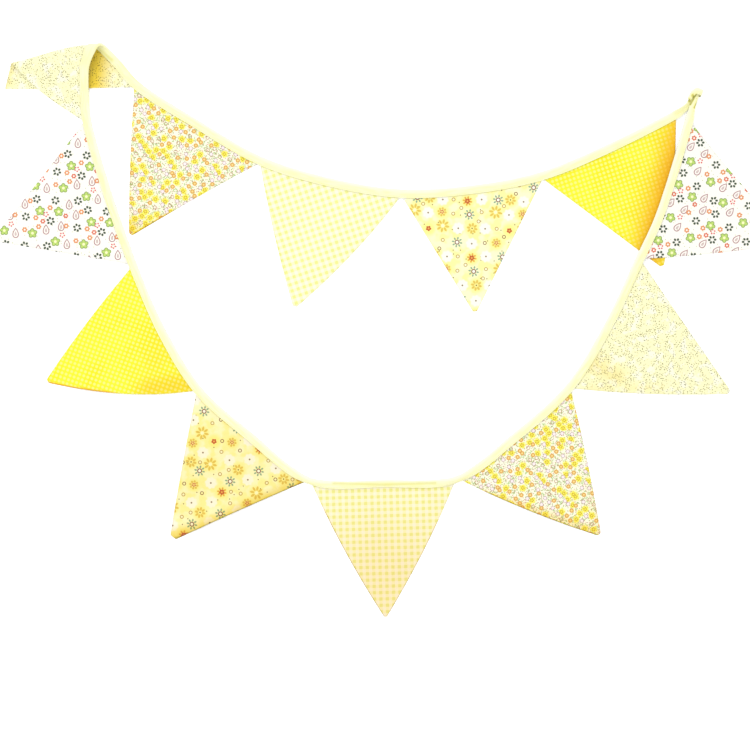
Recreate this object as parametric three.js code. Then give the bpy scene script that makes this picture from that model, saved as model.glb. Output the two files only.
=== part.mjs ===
// Fabric bunting laid out flat: twelve turned cotton flags sewn into one folded binding tape.
// The tape runs from a small knot through an upper swag, rolls over on itself at the top left and comes back
// through a lower swag to the same knot. Millimetres, +Z up, resting on z = 0, origin under the layout's middle.
import * as THREE from 'three';

// ---- driving dimensions ----

const tape = {
  width: 11, // the binding folded in half
  thickness: 3.6, // both halves and the slot between them
  wall: 0.7, // one half of the binding
  seatDepth: 0.5, // from the bottom of the slot to a flag's hidden edge
  mouth: 0.4, // how far outside the slot a flag still lies in its plane
};

const sheet = {
  thickness: 1, // two turned layers
  pressed: 0.8, // where the tape's stitching holds them
  columns: 10,
  rows: [0, 0.06, 0.14, 0.26, 0.4, 0.55, 0.7, 0.85, 1], // from the tape to the tip
  drop: 14, // the length over which a flag comes down from the slot
  dropPerLift: 22, // and how much longer it is for each millimetre that the tape is lifted
};

// The wrap of the tape's first end around its last end: the line of the last end, and the half turn about it.
const knot = {
  x: 396.6,
  y: 307.2,
  heading: 65, // degrees, the direction of the end that is wrapped
  edge: 4.75, // the wrap's outermost line, measured across that end
  radius: 2.7,
  skewReach: 3, // the tape's sections turn to lie along the wrapped end over this length
  droop: 1.6, // the cut end comes down by this over its last stretch
  droopLength: 11,
};

// The roll where tape and folded flag turn over at the top left, tightest at the flag's far side.
const roll = {
  x: -383,
  y: 369,
  farX: -495,
  farY: 346,
  bulge: 4, // the roll bends outward by this, a third of the way along
  radius: 7.5,
  farRadius: 4.5,
  evenLength: 30, // the radius stays even this far along, where the tape crosses
  skewReach: 24, // the tape's sections turn to lie along the roll over this length
  settleLength: 62, // the upper layer comes down over this length
  underTop: 1.4, // what the upper layer rides over
  underFrom: 296, // it starts to climb onto the lower layer here, in Y
  underTo: 311,
};

// The first end, from its cut edge, in the flat before it is wrapped: along and across the wrapped end.
const firstEnd = [
  { along: -13.5, across: 21.2, width: 6.5, thickness: 2 },
  { along: -8.5, across: 20, width: 6.8, thickness: 2 },
  { along: -3.6, across: 18, width: 7.5, thickness: 2 },
  { along: 0.4, across: 14.8, width: 8.5, thickness: 2 },
  { along: 2.6, across: 11, width: 9, thickness: 2 },
  { along: 3, across: 6.8, width: 8.5, thickness: 2 },
  { along: 0.8, across: 2.6, width: 7.5, thickness: 2 },
  { along: -4, across: -0.6, width: 7, thickness: 2 },
  { along: -10.5, across: -2.6, width: 7, thickness: 2 },
];

// The tape's middle line: a row in each gap between two flags, with that gap's width, and rows between.
const upperSwag = [
  { x: 385.4, y: 292.6, width: 7.5, thickness: 2 },
  { x: 378.3, y: 286.3, width: 8.5, thickness: 2.4 },
  { x: 369.2, y: 280.1, gap: 8 },
  { x: 283.4, y: 236.4 },
  { x: 194.6, y: 199.9, gap: 5 },
  { x: 105.3, y: 182.3 },
  { x: 12.3, y: 177.1, gap: 6 },
  { x: -80.6, y: 191.6 },
  { x: -170.8, y: 219.6, gap: 6 },
  { x: -255.2, y: 268 },
  { x: -333, y: 318.5, gap: 5.4 },
  { x: -356.6, y: 345.2 },
];
const lowerSwag = [
  { x: -397, y: 345.2 },
  { x: -399.2, y: 327.6 },
  { x: -399, y: 299 },
  { x: -396.5, y: 271.8, gap: 5 },
  { x: -371.2, y: 182 },
  { x: -336.3, y: 83.2, gap: 8 },
  { x: -299, y: -2.6 },
  { x: -252.3, y: -78, gap: 7 },
  { x: -187.6, y: -136.4 },
  { x: -107.2, y: -195.7, gap: 10, twist: 52, width: 10 },
  { x: -10.4, y: -199.6, width: 10.4 },
  { x: 84.5, y: -193.7, gap: 10, twist: 52, width: 10 },
  { x: 161.8, y: -138.3 },
  { x: 230.8, y: -74.8, gap: 7 },
  { x: 281.8, y: 6.5 },
  { x: 322, y: 92, gap: 8, lift: 1.7 },
  { x: 344.5, y: 140.4, lift: 1.9 },
  { x: 359.1, y: 182, lift: 2 },
  { x: 385.8, y: 271.7, gap: 8, lift: 2.2 },
  { x: 388.6, y: 283.4, lift: 2.4, width: 8.5, thickness: 2.4 },
  { x: 390.3, y: 291.2, lift: 2.7, width: 5.8, thickness: 2 },
  { x: 393.9, y: 300.6, lift: 2.7, width: 4.9, thickness: 2 },
  { x: 397, y: 308.2, lift: 2.7, width: 4.9, thickness: 2 },
  { x: 398.9, y: 312.4, lift: 2.7, width: 5.1, thickness: 2 },
];
const twistReach = 21; // how far along the tape a twist fades

// The flags in order along the tape. Bows bulge the two sides outward; a ridge is a soft fold in the flag's own
// flat: across from its middle, down from the tape.
const flags = [
  { name: 'flag_01_dotted', tipX: 351, tipY: 84, bowStart: 4, colour: 0xf8e81e },
  {
    name: 'flag_02_daisy', tipX: 107.9, tipY: 24.7, colour: 0xf7ecae,
    ridges: [{ across: [30, -5], down: [25, 110], height: 2.5, reach: 17 }],
  },
  {
    name: 'flag_03_gingham', tipX: -126.1, tipY: 31.2, bowStart: 6, bowEnd: 3, colour: 0xf3f0a2,
    ridges: [{ across: [-35, 0], down: [30, 105], height: 2.5, reach: 18 }],
  },
  {
    name: 'flag_04_small_floral', tipX: -339.4, tipY: 124.8, bowStart: -1.5, bowEnd: 2, colour: 0xf4e9b4,
    ridges: [{ across: [-35, -8], down: [50, 110], height: 2.5, reach: 16 }],
  },
  { name: 'flag_05_speckled', rolled: true, colour: 0xf7f2c0 },
  {
    name: 'flag_06_white_floral', tipX: -516.1, tipY: 118.3, tipWidth: 6, bowStart: -1, colour: 0xf4f4ec,
    ridges: [{ across: [-30, 5], down: [30, 115], height: 2.5, reach: 18 }],
  },
  {
    name: 'flag_07_dotted', tipX: -447.2, tipY: -66.3, bowStart: 3, bowEnd: 10, colour: 0xf8e81e,
    ridges: [{ across: [58, 12], down: [30, 135], height: 4, reach: 18 }],
  },
  {
    name: 'flag_08_daisy', columns: 12, tipX: -284.2, tipY: -268.8, tipWidth: 9, bowStart: 1, bowEnd: -1,
    colour: 0xf7ecae,
    ridges: [{ across: [55, 10], down: [35, 140], height: 5, reach: 17 }],
  },
  {
    name: 'flag_09_gingham', columns: 14, tipX: -8.5, tipY: -372.4, bowStart: 4.5, bowEnd: 4.5,
    colour: 0xf3f0a2,
    ridges: [
      { across: [-35, 5], down: [30, 110], height: 3, reach: 17 },
      { across: [45, 15], down: [25, 95], height: 2.5, reach: 15 },
    ],
  },
  {
    name: 'flag_10_small_floral', columns: 14, tipX: 269.1, tipY: -265.2, bowStart: 4, bowEnd: 2,
    colour: 0xf4e9b4,
    ridges: [{ across: [-55, -10], down: [35, 140], height: 4, reach: 17 }],
  },
  {
    name: 'flag_11_speckled', tipX: 438.1, tipY: -80.6, bowStart: 4, colour: 0xf7f2c0,
    ridges: [{ across: [-45, -12], down: [25, 105], height: 3, reach: 17 }],
  },
  {
    name: 'flag_12_white_floral', tipX: 516.1, tipY: 115.7, tipWidth: 6, bowStart: 3, bowEnd: -2,
    colour: 0xf4f4ec,
    ridges: [{ across: [20, 5], down: [75, 135], height: 2.5, reach: 17 }],
  },
];
const plainTipWidth = 5;

// The rolled flag, flat before it is rolled: its cut end's two corners, along the roll and past its first line.
// Its end is turned under, so it is blunt. Columns are the lines that lie parallel to the roll.
const rolledFlag = {
  endCorners: [{ along: 128.5, past: -26 }, { along: 113, past: 8 }],
  sideBows: [1, 0, 6], // outward bulge of the side from the tape, the cut end and the side back to the tape
  columns: [-42, -33, -26, -15, -6, 0, 4, 8, 12, 16, 20, 23.6, 28, 34, 44, 56, 70, 84],
  rows: [0, 0.08, 0.2, 0.35, 0.5, 0.67, 0.84, 1],
  underRest: 1.9, // the middle of the upper layer where it lies on the lower one
  leaveFloor: 15, // the lower layer leaves the floor this far before the roll
  cornerLength: 5,
};

// ---- small helpers ----

const degrees = Math.PI / 180;
const smooth = (value) => THREE.MathUtils.smoothstep(value, 0, 1);
const mix = THREE.MathUtils.lerp;

// ---- bends: cloth that turns over along a line ----

class Bend {
  // The outermost line of the half turn passes `edge`, and runs along `heading` in radians. The radius stays even
  // for `evenLength` of that line, then changes to `farRadius` up to `farLength`. The line bulges outward by up
  // to `bulge` on its way there.
  constructor({ edge, heading, radius, farRadius = radius, evenLength = 0, farLength = 1, bulge = 0 }) {
    this.edge = edge;
    this.lineward = new THREE.Vector2(Math.cos(heading), Math.sin(heading));
    this.outward = new THREE.Vector2(Math.sin(heading), -Math.cos(heading));
    this.radius = radius;
    this.farRadius = farRadius;
    this.evenLength = evenLength;
    this.farLength = farLength;
    this.bulge = bulge;
  }

  radiusAt(along) {
    const part = (along - this.evenLength) / (this.farLength - this.evenLength);
    return mix(this.radius, this.farRadius, THREE.MathUtils.clamp(part, 0, 1));
  }

  // Length of cloth in the half turn.
  turnLength(along) {
    return Math.PI * this.radiusAt(along);
  }

  // Where the turn starts, measured outward from the straight line through `edge`.
  turnStart(along) {
    const part = THREE.MathUtils.clamp(along / this.farLength, 0, 1);
    return this.bulge * 6.75 * part * (1 - part) ** 2 - this.radiusAt(along);
  }

  // Flat place to its distance along the bend's line and past the line where the turn starts.
  toBend(spot) {
    const offset = spot.clone().sub(this.edge);
    const along = offset.dot(this.lineward);
    return { along, past: offset.dot(this.outward) - this.turnStart(along) };
  }

  fromBend({ along, past }) {
    const outward = past + this.turnStart(along);
    return this.edge.clone().addScaledVector(this.lineward, along).addScaledVector(this.outward, outward);
  }

  // The direction of the bend's lines at a flat place.
  lineAt(spot) {
    const { along, past } = this.toBend(spot);
    const reach = 5;
    const ends = [along - reach, along + reach].map((place) => this.fromBend({ along: place, past }));
    return ends[1].sub(ends[0]).normalize();
  }

  // How far from the turn a flat place is.
  outside(spot) {
    const { along, past } = this.toBend(spot);
    return Math.max(-past, past - this.turnLength(along), 0);
  }

  // Where a flat place goes: its place seen from above, the height gained, the slope there, and the length of
  // cloth after the turn.
  bent(spot) {
    const { along, past } = this.toBend(spot);
    const radius = this.radiusAt(along);
    const after = past - this.turnLength(along);
    const slope = THREE.MathUtils.clamp(past / radius, 0, Math.PI);
    let beyond = radius * Math.sin(slope);
    if (past < 0) beyond = past;
    if (after > 0) beyond = -after;
    const plan = this.fromBend({ along, past: beyond });
    return { plan, height: radius * (1 - Math.cos(slope)), slope, past, after };
  }

  // A place on the upper layer, seen from above, back to its flat place.
  unrolled(plan) {
    const { along, past } = this.toBend(plan);
    return this.fromBend({ along, past: this.turnLength(along) - past });
  }
}

const knotHeading = knot.heading * degrees;
const knotCentre = new THREE.Vector2(knot.x, knot.y);
const knotAlong = new THREE.Vector2(Math.cos(knotHeading), Math.sin(knotHeading));
const knotAcross = new THREE.Vector2(Math.sin(knotHeading), -Math.cos(knotHeading));
const wrapBend = new Bend({
  edge: knotCentre.clone().addScaledVector(knotAcross, knot.edge),
  heading: knotHeading,
  radius: knot.radius,
});

const rollStart = new THREE.Vector2(roll.x, roll.y);
const rollLine = new THREE.Vector2(roll.farX, roll.farY).sub(rollStart);
const rollBend = new Bend({
  edge: rollStart,
  heading: rollLine.angle(),
  radius: roll.radius,
  farRadius: roll.farRadius,
  evenLength: roll.evenLength,
  farLength: rollLine.length(),
  bulge: roll.bulge,
});

// ---- the tape's route ----

const firstEndRows = firstEnd.map(({ along, across, ...size }) => {
  const spot = knotCentre.clone().addScaledVector(knotAlong, along).addScaledVector(knotAcross, across);
  return { x: spot.x, y: spot.y, ...size };
});
const lowerRows = lowerSwag.map((row) => {
  const spot = rollBend.unrolled(new THREE.Vector2(row.x, row.y));
  return { ...row, x: spot.x, y: spot.y };
});
const routeRows = [...firstEndRows, ...upperSwag, ...lowerRows];
const lastRow = routeRows.length - 1;
const routeCurve = new THREE.CatmullRomCurve3(
  routeRows.map((row) => new THREE.Vector3(row.x, row.y, row.lift ?? 0)),
  false,
  'centripetal',
);
const lengthSteps = lastRow * 100;
routeCurve.arcLengthDivisions = lengthSteps;
const routeLengths = routeCurve.getLengths();
const distanceAtRow = (row) => routeLengths[Math.round((row / lastRow) * lengthSteps)];

const wrappedUntil = distanceAtRow(firstEnd.length);
const rollFrom = distanceAtRow(firstEnd.length + upperSwag.length - 2);
const gaps = [];
const twists = [];
routeRows.forEach((row, index) => {
  if (row.gap) gaps.push({ at: distanceAtRow(index), half: row.gap / 2 });
  if (row.twist) twists.push({ at: distanceAtRow(index), angle: row.twist * degrees });
});

// The direction of the tape's section: square across it, but along the lines of the turn that it goes round.
function sectionDirection(spot, square, wrapped) {
  const bend = wrapped ? wrapBend : rollBend;
  const reach = wrapped ? knot.skewReach : roll.skewReach;
  const line = bend.lineAt(spot);
  line.multiplyScalar(Math.sign(line.dot(square)));
  return square.clone().lerp(line, 1 - smooth(bend.outside(spot) / reach)).normalize();
}

// The flat middle line, size and twist at a distance along the tape.
function tapeAt(distance) {
  const t = routeCurve.getUtoTmapping(0, distance);
  const point = routeCurve.getPoint(t);
  const ahead = routeCurve.getTangent(t);
  const along = new THREE.Vector2(ahead.x, ahead.y).normalize();
  const row = Math.min(Math.floor(t * lastRow), lastRow - 1);
  const part = smooth(t * lastRow - row);
  const between = (key, plain) => mix(routeRows[row][key] ?? plain, routeRows[row + 1][key] ?? plain, part);
  const twist = twists.reduce(
    (sum, turn) => sum + turn.angle * Math.exp(-(((distance - turn.at) / twistReach) ** 2)),
    0,
  );
  const middle = new THREE.Vector2(point.x, point.y);
  const square = new THREE.Vector2(-along.y, along.x);
  const flagward = sectionDirection(middle, square, distance < wrappedUntil);
  return {
    middle,
    flagward,
    lift: Math.max(point.z, 0),
    width: between('width', tape.width) / flagward.dot(square),
    thickness: between('thickness', tape.thickness),
    twist,
  };
}

// How much of its height the rolled-over cloth still has, and what it lies on.
function settled(bent, floor, middle) {
  const fall = 1 - smooth(bent.after / roll.settleLength);
  return mix(floor, middle + bent.height, fall);
}

// How far a place seen from above lies over the rolled flag's lower layer, 0 to 1.
function overLowerLayer(plan) {
  return plan.x < 0 ? THREE.MathUtils.smoothstep(plan.y, roll.underFrom, roll.underTo) : 0;
}

// A flat place of the tape at height `middle`, and `up` from its middle plane, to its place in the layout.
function placeOnTape(distance, spot, up, middle) {
  if (distance < wrappedUntil) {
    const bent = wrapBend.bent(spot);
    const plan = bent.plan.addScaledVector(wrapBend.outward, -up * Math.sin(bent.slope));
    const droop = knot.droop * (1 - smooth(distance / knot.droopLength));
    return new THREE.Vector3(plan.x, plan.y, middle + bent.height - droop + up * Math.cos(bent.slope));
  }
  if (distance < rollFrom) {
    return new THREE.Vector3(spot.x, spot.y, middle + up);
  }
  const bent = rollBend.bent(spot);
  const plan = bent.plan.addScaledVector(rollBend.outward, -up * Math.sin(bent.slope));
  const floor = middle + roll.underTop * overLowerLayer(plan);
  return new THREE.Vector3(plan.x, plan.y, settled(bent, floor, middle) + up * Math.cos(bent.slope));
}

// A point of the tape's section: across from its middle towards the flags, and up from its middle plane.
function tapePoint(distance, sectionOf) {
  const spot = tapeAt(distance);
  const turnedOver = distance > rollFrom ? -1 : 1;
  const cosine = Math.cos(spot.twist);
  const sine = Math.sin(spot.twist);
  const middle = (spot.thickness / 2) * cosine + (spot.width / 2) * sine + spot.lift;
  return sectionOf(spot).map(([across, up]) => {
    const level = across * cosine + up * sine * turnedOver;
    const raised = up * cosine - across * sine * turnedOver;
    const flat = spot.middle.clone().addScaledVector(spot.flagward, level);
    return placeOnTape(distance, flat, raised, middle);
  });
}

// ---- closed meshes ----

function makeMesh(name, points, triangles, colour, roughness) {
  const geometry = new THREE.BufferGeometry();
  const positions = points.flatMap((point) => point.toArray());
  geometry.setAttribute('position', new THREE.Float32BufferAttribute(positions, 3));
  const volume = triangles.reduce((sum, [a, b, c]) => {
    const normal = new THREE.Vector3().crossVectors(points[b], points[c]);
    return sum + points[a].dot(normal);
  }, 0);
  const outward = volume < 0 ? triangles.map(([a, b, c]) => [a, c, b]) : triangles;
  geometry.setIndex(outward.flat());
  geometry.computeVertexNormals();
  const material = new THREE.MeshStandardMaterial({ color: colour, roughness, metalness: 0 });
  const mesh = new THREE.Mesh(geometry, material);
  mesh.name = name;
  return mesh;
}

const quad = (a, b, c, d) => [[a, b, c], [a, c, d]];

// A closed sheet around a grid of middle points, grid[column][row].
function makeSheet(name, grid, colour) {
  const columns = grid.length;
  const rows = grid[0].length;
  const points = [];
  for (const side of [1, -1]) {
    for (let c = 0; c < columns; c += 1) {
      for (let r = 0; r < rows; r += 1) {
        const alongColumns = grid[Math.min(c + 1, columns - 1)][r].clone().sub(grid[Math.max(c - 1, 0)][r]);
        const alongRows = grid[c][Math.min(r + 1, rows - 1)].clone().sub(grid[c][Math.max(r - 1, 0)]);
        const normal = alongColumns.cross(alongRows).normalize();
        const thickness = r < 2 ? sheet.pressed : sheet.thickness;
        points.push(grid[c][r].clone().addScaledVector(normal, (side * thickness) / 2));
      }
    }
  }
  const top = (c, r) => c * rows + r;
  const under = (c, r) => top(c, r) + columns * rows;
  const triangles = [];
  for (let c = 0; c < columns - 1; c += 1) {
    for (let r = 0; r < rows - 1; r += 1) {
      triangles.push(...quad(top(c, r), top(c + 1, r), top(c + 1, r + 1), top(c, r + 1)));
      triangles.push(...quad(under(c, r), under(c, r + 1), under(c + 1, r + 1), under(c + 1, r)));
    }
    triangles.push(...quad(top(c, 0), under(c, 0), under(c + 1, 0), top(c + 1, 0)));
    triangles.push(...quad(top(c, rows - 1), top(c + 1, rows - 1), under(c + 1, rows - 1), under(c, rows - 1)));
  }
  for (let r = 0; r < rows - 1; r += 1) {
    triangles.push(...quad(top(0, r), top(0, r + 1), under(0, r + 1), under(0, r)));
    const last = columns - 1;
    triangles.push(...quad(top(last, r), under(last, r), under(last, r + 1), top(last, r + 1)));
  }
  return makeMesh(name, points, triangles, colour, 0.9);
}

// ---- the flags ----

// The two places of a flag's top edge: inside the slot, and just outside its mouth.
function slotPoints(distance) {
  return tapePoint(distance, (spot) => [
    [-spot.width / 2 + tape.wall + tape.seatDepth, 0],
    [spot.width / 2 + tape.mouth, 0],
  ]);
}

// Height of soft folds at a place in the flag's own flat.
function ridgeHeight(ridges, across, down) {
  let height = 0;
  for (const ridge of ridges) {
    const start = new THREE.Vector2(ridge.across[0], ridge.down[0]);
    const run = new THREE.Vector2(ridge.across[1], ridge.down[1]).sub(start);
    const offset = new THREE.Vector2(across, down).sub(start);
    const part = THREE.MathUtils.clamp(offset.dot(run) / run.lengthSq(), 0, 1);
    const away = offset.addScaledVector(run, -part).length();
    height += ridge.height * Math.exp(-((away / ridge.reach) ** 2));
  }
  return height;
}

// Where a flag's columns leave the tape, as parts of its top edge, closer together at both sides.
function columnParts(flag) {
  const count = flag.columns ?? sheet.columns;
  return Array.from({ length: count + 1 }, (_, column) => 0.5 - 0.5 * Math.cos((Math.PI * column) / count));
}

// A flag's columns run straight from the tape to its narrow tip.
function makeFlag(flag, start, end) {
  const tip = new THREE.Vector2(flag.tipX, flag.tipY);
  const corners = [start, end].map((distance) => slotPoints(distance)[1]);
  const chord = new THREE.Vector2(corners[1].x - corners[0].x, corners[1].y - corners[0].y);
  const baseLength = chord.length();
  chord.normalize();
  const tipWidth = flag.tipWidth ?? plainTipWidth;
  const grid = [];
  for (const part of columnParts(flag)) {
    const distance = mix(start, end, part);
    const [hidden, mouth] = slotPoints(distance);
    const top = new THREE.Vector2(mouth.x, mouth.y);
    const foot = tip.clone().addScaledVector(chord, (part - 0.5) * tipWidth);
    const bow = part < 0.5 ? -(flag.bowStart ?? 0) * (1 - 2 * part) : (flag.bowEnd ?? 0) * (2 * part - 1);
    const length = top.distanceTo(foot);
    const drop = sheet.drop + sheet.dropPerLift * tapeAt(distance).lift;
    const rest = sheet.thickness / 2;
    const column = [hidden];
    for (const down of sheet.rows) {
      const plan = top.clone().lerp(foot, down).addScaledVector(chord, bow * 4 * down * (1 - down));
      const lowered = mix(mouth.z, rest, smooth((down * length) / drop));
      const across = (part - 0.5) * baseLength * (1 - down);
      const ridge = ridgeHeight(flag.ridges ?? [], across, down * length);
      column.push(new THREE.Vector3(plan.x, plan.y, lowered + ridge * smooth((down * length) / sheet.drop)));
    }
    grid.push(column);
  }
  return makeSheet(flag.name, grid, flag.colour);
}

// Which line parallel to the roll a flat place is on: millimetres before the roll, round it, and after it.
function rollColumn(spot) {
  const { along, past } = rollBend.toBend(spot);
  const turn = rollBend.turnLength(along);
  const plainTurn = Math.PI * roll.radius;
  if (past <= 0) return past;
  return past < turn ? (past / turn) * plainTurn : plainTurn + past - turn;
}

// The place on a run from 0 to 1 where it crosses a column of the roll.
function crossing(runAt, column) {
  let low = 0;
  let high = 1;
  for (let step = 0; step < 40; step += 1) {
    const half = (low + high) / 2;
    if (rollColumn(runAt(half)) < column) low = half;
    else high = half;
  }
  return (low + high) / 2;
}

// The rolled flag lies flat, goes round the roll and comes down over itself.
function placeOnRolledFlag(spot) {
  const bent = rollBend.bent(spot);
  const middle = tape.thickness / 2;
  const rest = sheet.thickness / 2;
  if (bent.past <= 0) {
    const z = mix(middle, rest, smooth(-bent.past / rolledFlag.leaveFloor));
    return new THREE.Vector3(bent.plan.x, bent.plan.y, z);
  }
  const floor = mix(rest, rolledFlag.underRest, overLowerLayer(bent.plan));
  return new THREE.Vector3(bent.plan.x, bent.plan.y, settled(bent, floor, middle));
}

function rolledFlagColumns(start, end) {
  const onTape = (part) => {
    const spot = tapeAt(mix(start, end, part));
    return spot.middle.addScaledVector(spot.flagward, spot.width / 2 + tape.mouth);
  };
  return [0, ...rolledFlag.columns.map((column) => crossing(onTape, column)), 1].map((part) => mix(start, end, part));
}

function makeRolledFlag(flag, start, end) {
  const mouthAt = (distance) => {
    const spot = tapeAt(distance);
    return spot.middle.addScaledVector(spot.flagward, spot.width / 2 + tape.mouth);
  };
  const outline = [
    mouthAt(start),
    ...rolledFlag.endCorners.map((corner) => rollBend.fromBend(corner)),
    mouthAt(end),
  ];
  const onOutline = (part) => {
    const side = Math.min(Math.floor(part * 3), 2);
    const down = part * 3 - side;
    const run = outline[side + 1].clone().sub(outline[side]).normalize();
    const bow = rolledFlag.sideBows[side] * 4 * down * (1 - down);
    return outline[side].clone().lerp(outline[side + 1], down).add(new THREE.Vector2(-run.y, run.x).multiplyScalar(bow));
  };
  const grid = rolledFlagColumns(start, end).map((distance, index, all) => {
    const [hidden, mouth] = slotPoints(distance);
    const top = mouthAt(distance);
    const corner = index === 0 || index === all.length - 1;
    const far = corner ? cornerFoot(top, outline, index === 0) : onOutline(crossing(onOutline, rollColumn(top)));
    const length = top.distanceTo(far);
    const column = [hidden, mouth];
    for (const down of rolledFlag.rows.slice(1)) {
      const place = placeOnRolledFlag(top.clone().lerp(far, down));
      place.z = mix(mouth.z, place.z, smooth((down * length) / sheet.drop));
      column.push(place);
    }
    return column;
  });
  return makeSheet(flag.name, grid, flag.colour);
}

// The rolled flag's first and last columns are short, so that its corners aren't points.
function cornerFoot(top, outline, first) {
  const next = first ? outline[1] : outline[2];
  return top.clone().addScaledVector(next.clone().sub(top).normalize(), rolledFlag.cornerLength);
}

// ---- the binding tape ----

// The folded section: two walls and the fold that joins them, open towards the flags.
function foldedSection({ width, thickness }) {
  const edge = width / 2;
  const face = thickness / 2;
  const slot = face - tape.wall;
  const back = -edge + tape.wall;
  return [
    [-edge, -face], [edge, -face], [edge, -slot], [back, -slot],
    [back, slot], [edge, slot], [edge, face], [-edge, face],
  ];
}

function makeTape(distances) {
  const sections = distances.map((distance) => tapePoint(distance, foldedSection));
  const points = sections.flat();
  const corners = sections[0].length;
  const triangles = [];
  for (let s = 0; s < sections.length - 1; s += 1) {
    for (let k = 0; k < corners; k += 1) {
      const ring = [k, (k + 1) % corners].map((corner) => corner + s * corners);
      const around = [ring[0], ring[1], ring[1] + corners, ring[0] + corners];
      if (k === 2 || k === 6) around.push(around.shift()); // every wall is split the way the flags are
      triangles.push(...quad(...around));
    }
  }
  const last = (sections.length - 1) * corners;
  for (const [a, b, c, d] of [[0, 1, 2, 3], [0, 3, 4, 7], [4, 5, 6, 7]]) {
    triangles.push(...quad(a, d, c, b));
    triangles.push(...quad(last + a, last + b, last + c, last + d));
  }
  return makeMesh('binding_tape', points, triangles, 0xfaf5c4, 0.85);
}

function evenSteps(from, to, step) {
  const count = Math.ceil((to - from) / step);
  return Array.from({ length: count }, (_, index) => mix(from, to, index / count));
}

// ---- the layout ----

const group = new THREE.Group();
const tapeLength = routeLengths[lengthSteps];
const tapeStations = evenSteps(0, gaps[0].at, 2.2);
flags.forEach((flag, index) => {
  const start = gaps[index].at + gaps[index].half;
  const end = gaps[index + 1].at - gaps[index + 1].half;
  const columns = flag.rolled
    ? rolledFlagColumns(start, end)
    : columnParts(flag).map((part) => mix(start, end, part));
  tapeStations.push(gaps[index].at, ...columns);
  group.add(flag.rolled ? makeRolledFlag(flag, start, end) : makeFlag(flag, start, end));
});
tapeStations.push(...evenSteps(gaps[flags.length].at, tapeLength, 5), tapeLength);
group.add(makeTape(tapeStations));

const layoutMiddle = new THREE.Box3().setFromObject(group).getCenter(new THREE.Vector3());
group.children.forEach((mesh) => mesh.geometry.translate(-layoutMiddle.x, -layoutMiddle.y, 0));

export default group;
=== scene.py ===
# Fabric bunting laid out flat: twelve turned cotton flags in one folded binding tape.
# Shapes are worked out in millimetres, in the same drawing as the solids, and put into the meshes in metres.
import bpy
import math
import numpy as np
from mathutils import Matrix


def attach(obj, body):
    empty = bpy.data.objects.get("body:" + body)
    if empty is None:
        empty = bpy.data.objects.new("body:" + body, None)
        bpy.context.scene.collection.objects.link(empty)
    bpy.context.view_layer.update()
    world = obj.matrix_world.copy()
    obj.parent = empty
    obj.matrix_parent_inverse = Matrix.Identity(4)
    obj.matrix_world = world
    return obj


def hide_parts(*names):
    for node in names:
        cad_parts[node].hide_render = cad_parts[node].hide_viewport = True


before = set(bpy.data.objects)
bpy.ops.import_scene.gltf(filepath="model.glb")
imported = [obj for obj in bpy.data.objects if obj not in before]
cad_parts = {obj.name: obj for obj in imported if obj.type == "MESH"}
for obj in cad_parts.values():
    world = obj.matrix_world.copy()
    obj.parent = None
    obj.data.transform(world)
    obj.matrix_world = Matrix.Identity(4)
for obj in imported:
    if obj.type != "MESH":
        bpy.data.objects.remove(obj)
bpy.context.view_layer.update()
print("frame loaded:", len(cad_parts), "solids")

metre = 0.001
layoutMiddle = np.array([0.0446, -0.1876, 0.0])  # the drawing's own middle, which moves to the origin

# The layout's sizes. A painted shade past 1 goes on from the painted shade's tint to the deeper painted
# shade's.

tape = {
    "width": 11.0,       # the binding folded in half
    "thickness": 3.6,    # both halves and the slot between them
    "wall": 0.7,
    "foldExtra": 0.3,    # how much thicker than a wall the fold is
    "seatDepth": 0.5,    # from the bottom of the slot to a flag's hidden edge
    "mouth": 0.4,        # how far outside the slot a flag still lies in its plane
    "stationStep": 1.5,
    "stitchLength": 2.6,
    "stitchPitch": 3.4,
    "stitchInset": 1.7,  # from the open edge to the stitching
    "stitchEnds": (6.0, 5.0),
    "stitchDip": 0.22,   # how far the stitching draws the faces in
    "dipReach": 1.1,
    "threadRadius": 0.2,
    "threadTaper": 0.85, # how much of its section is lost at a stitch's ends
    "threadSink": 0.1,   # how deep a stitch's ends lie
    "threadRise": 0.16,  # how far its middle comes up from there
    "paintedHighlightFrom": 62.0,    # further than this from the roll, a painted highlight pales the fold
    "paintedHighlightReach": 36.0,
    # painted shade and shadow where the knot, the roll's inside and one stretch lie in shade: x, y, x, y,
    # reach, amount
    "shades": [(390.0, 304.2, 391.0, 302.8, 2.0, 1.6), (385.6, 298.6, 386.2, 297.4, 2.0, 1.6),
               (394.6, 305.5, 387.4, 292.5, 0.9, 1.9), (400.2, 303.2, 392.2, 288.4, 0.9, 1.9),
               (369.2, 282.1, 382.2, 291.2, 4.5, 0.4), (-380.5, 363.0, -364.0, 350.5, 3.0, 0.6),
               (-76.0, -199.2, -10.0, -200.8, 2.0, 0.6), (-10.0, -200.8, 56.0, -198.6, 2.0, 0.6)],
}
plainHalf = tape["thickness"] / 2
cloth = {
    "thickness": 0.9,
    "pressed": 0.75,     # where the tape's stitching holds it
    "pressedReach": 8.0,
    "seamRise": 0.16,    # the turned edges lie inside, so a flag's border is a little thicker
    "seamWidth": 7.0,
    "seamStep": 1.2,
    "seamStart": 6.0,    # how far below the tape the border reaches its full thickness
    "rim": 0.38,         # how far the rounded rim stands out, in thicknesses
    "columns": 84,
    "rows": 84,
    "rowPower": 1.08,    # rows lie closer together at the tape
    "drop": 14.0,        # the length over which a flag comes down from the slot
    "dropPerLift": 22.0,
    "wave": 0.5,         # height of the soft unevenness
    "waveLengths": (38, 110),
    "calmReach": 12.0,   # the stiffer edges keep the waves off
    "gather": 0.22,      # height of the small gathers along the tape
    "gatherLengths": (9.0, 13.0, 21.0),
    "gatherStart": 3.0,
    "gatherFade": 13.0,
    "hiddenDown": -8.0,  # a hidden edge's place, down from the slot's mouth
    "tipWidth": 5.0,
    "sideLean": 0.9,     # a flag's leaning side is nearer than it is along the tape
    "endLean": 0.5,      # the same for its narrow end, down the flag
}
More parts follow.
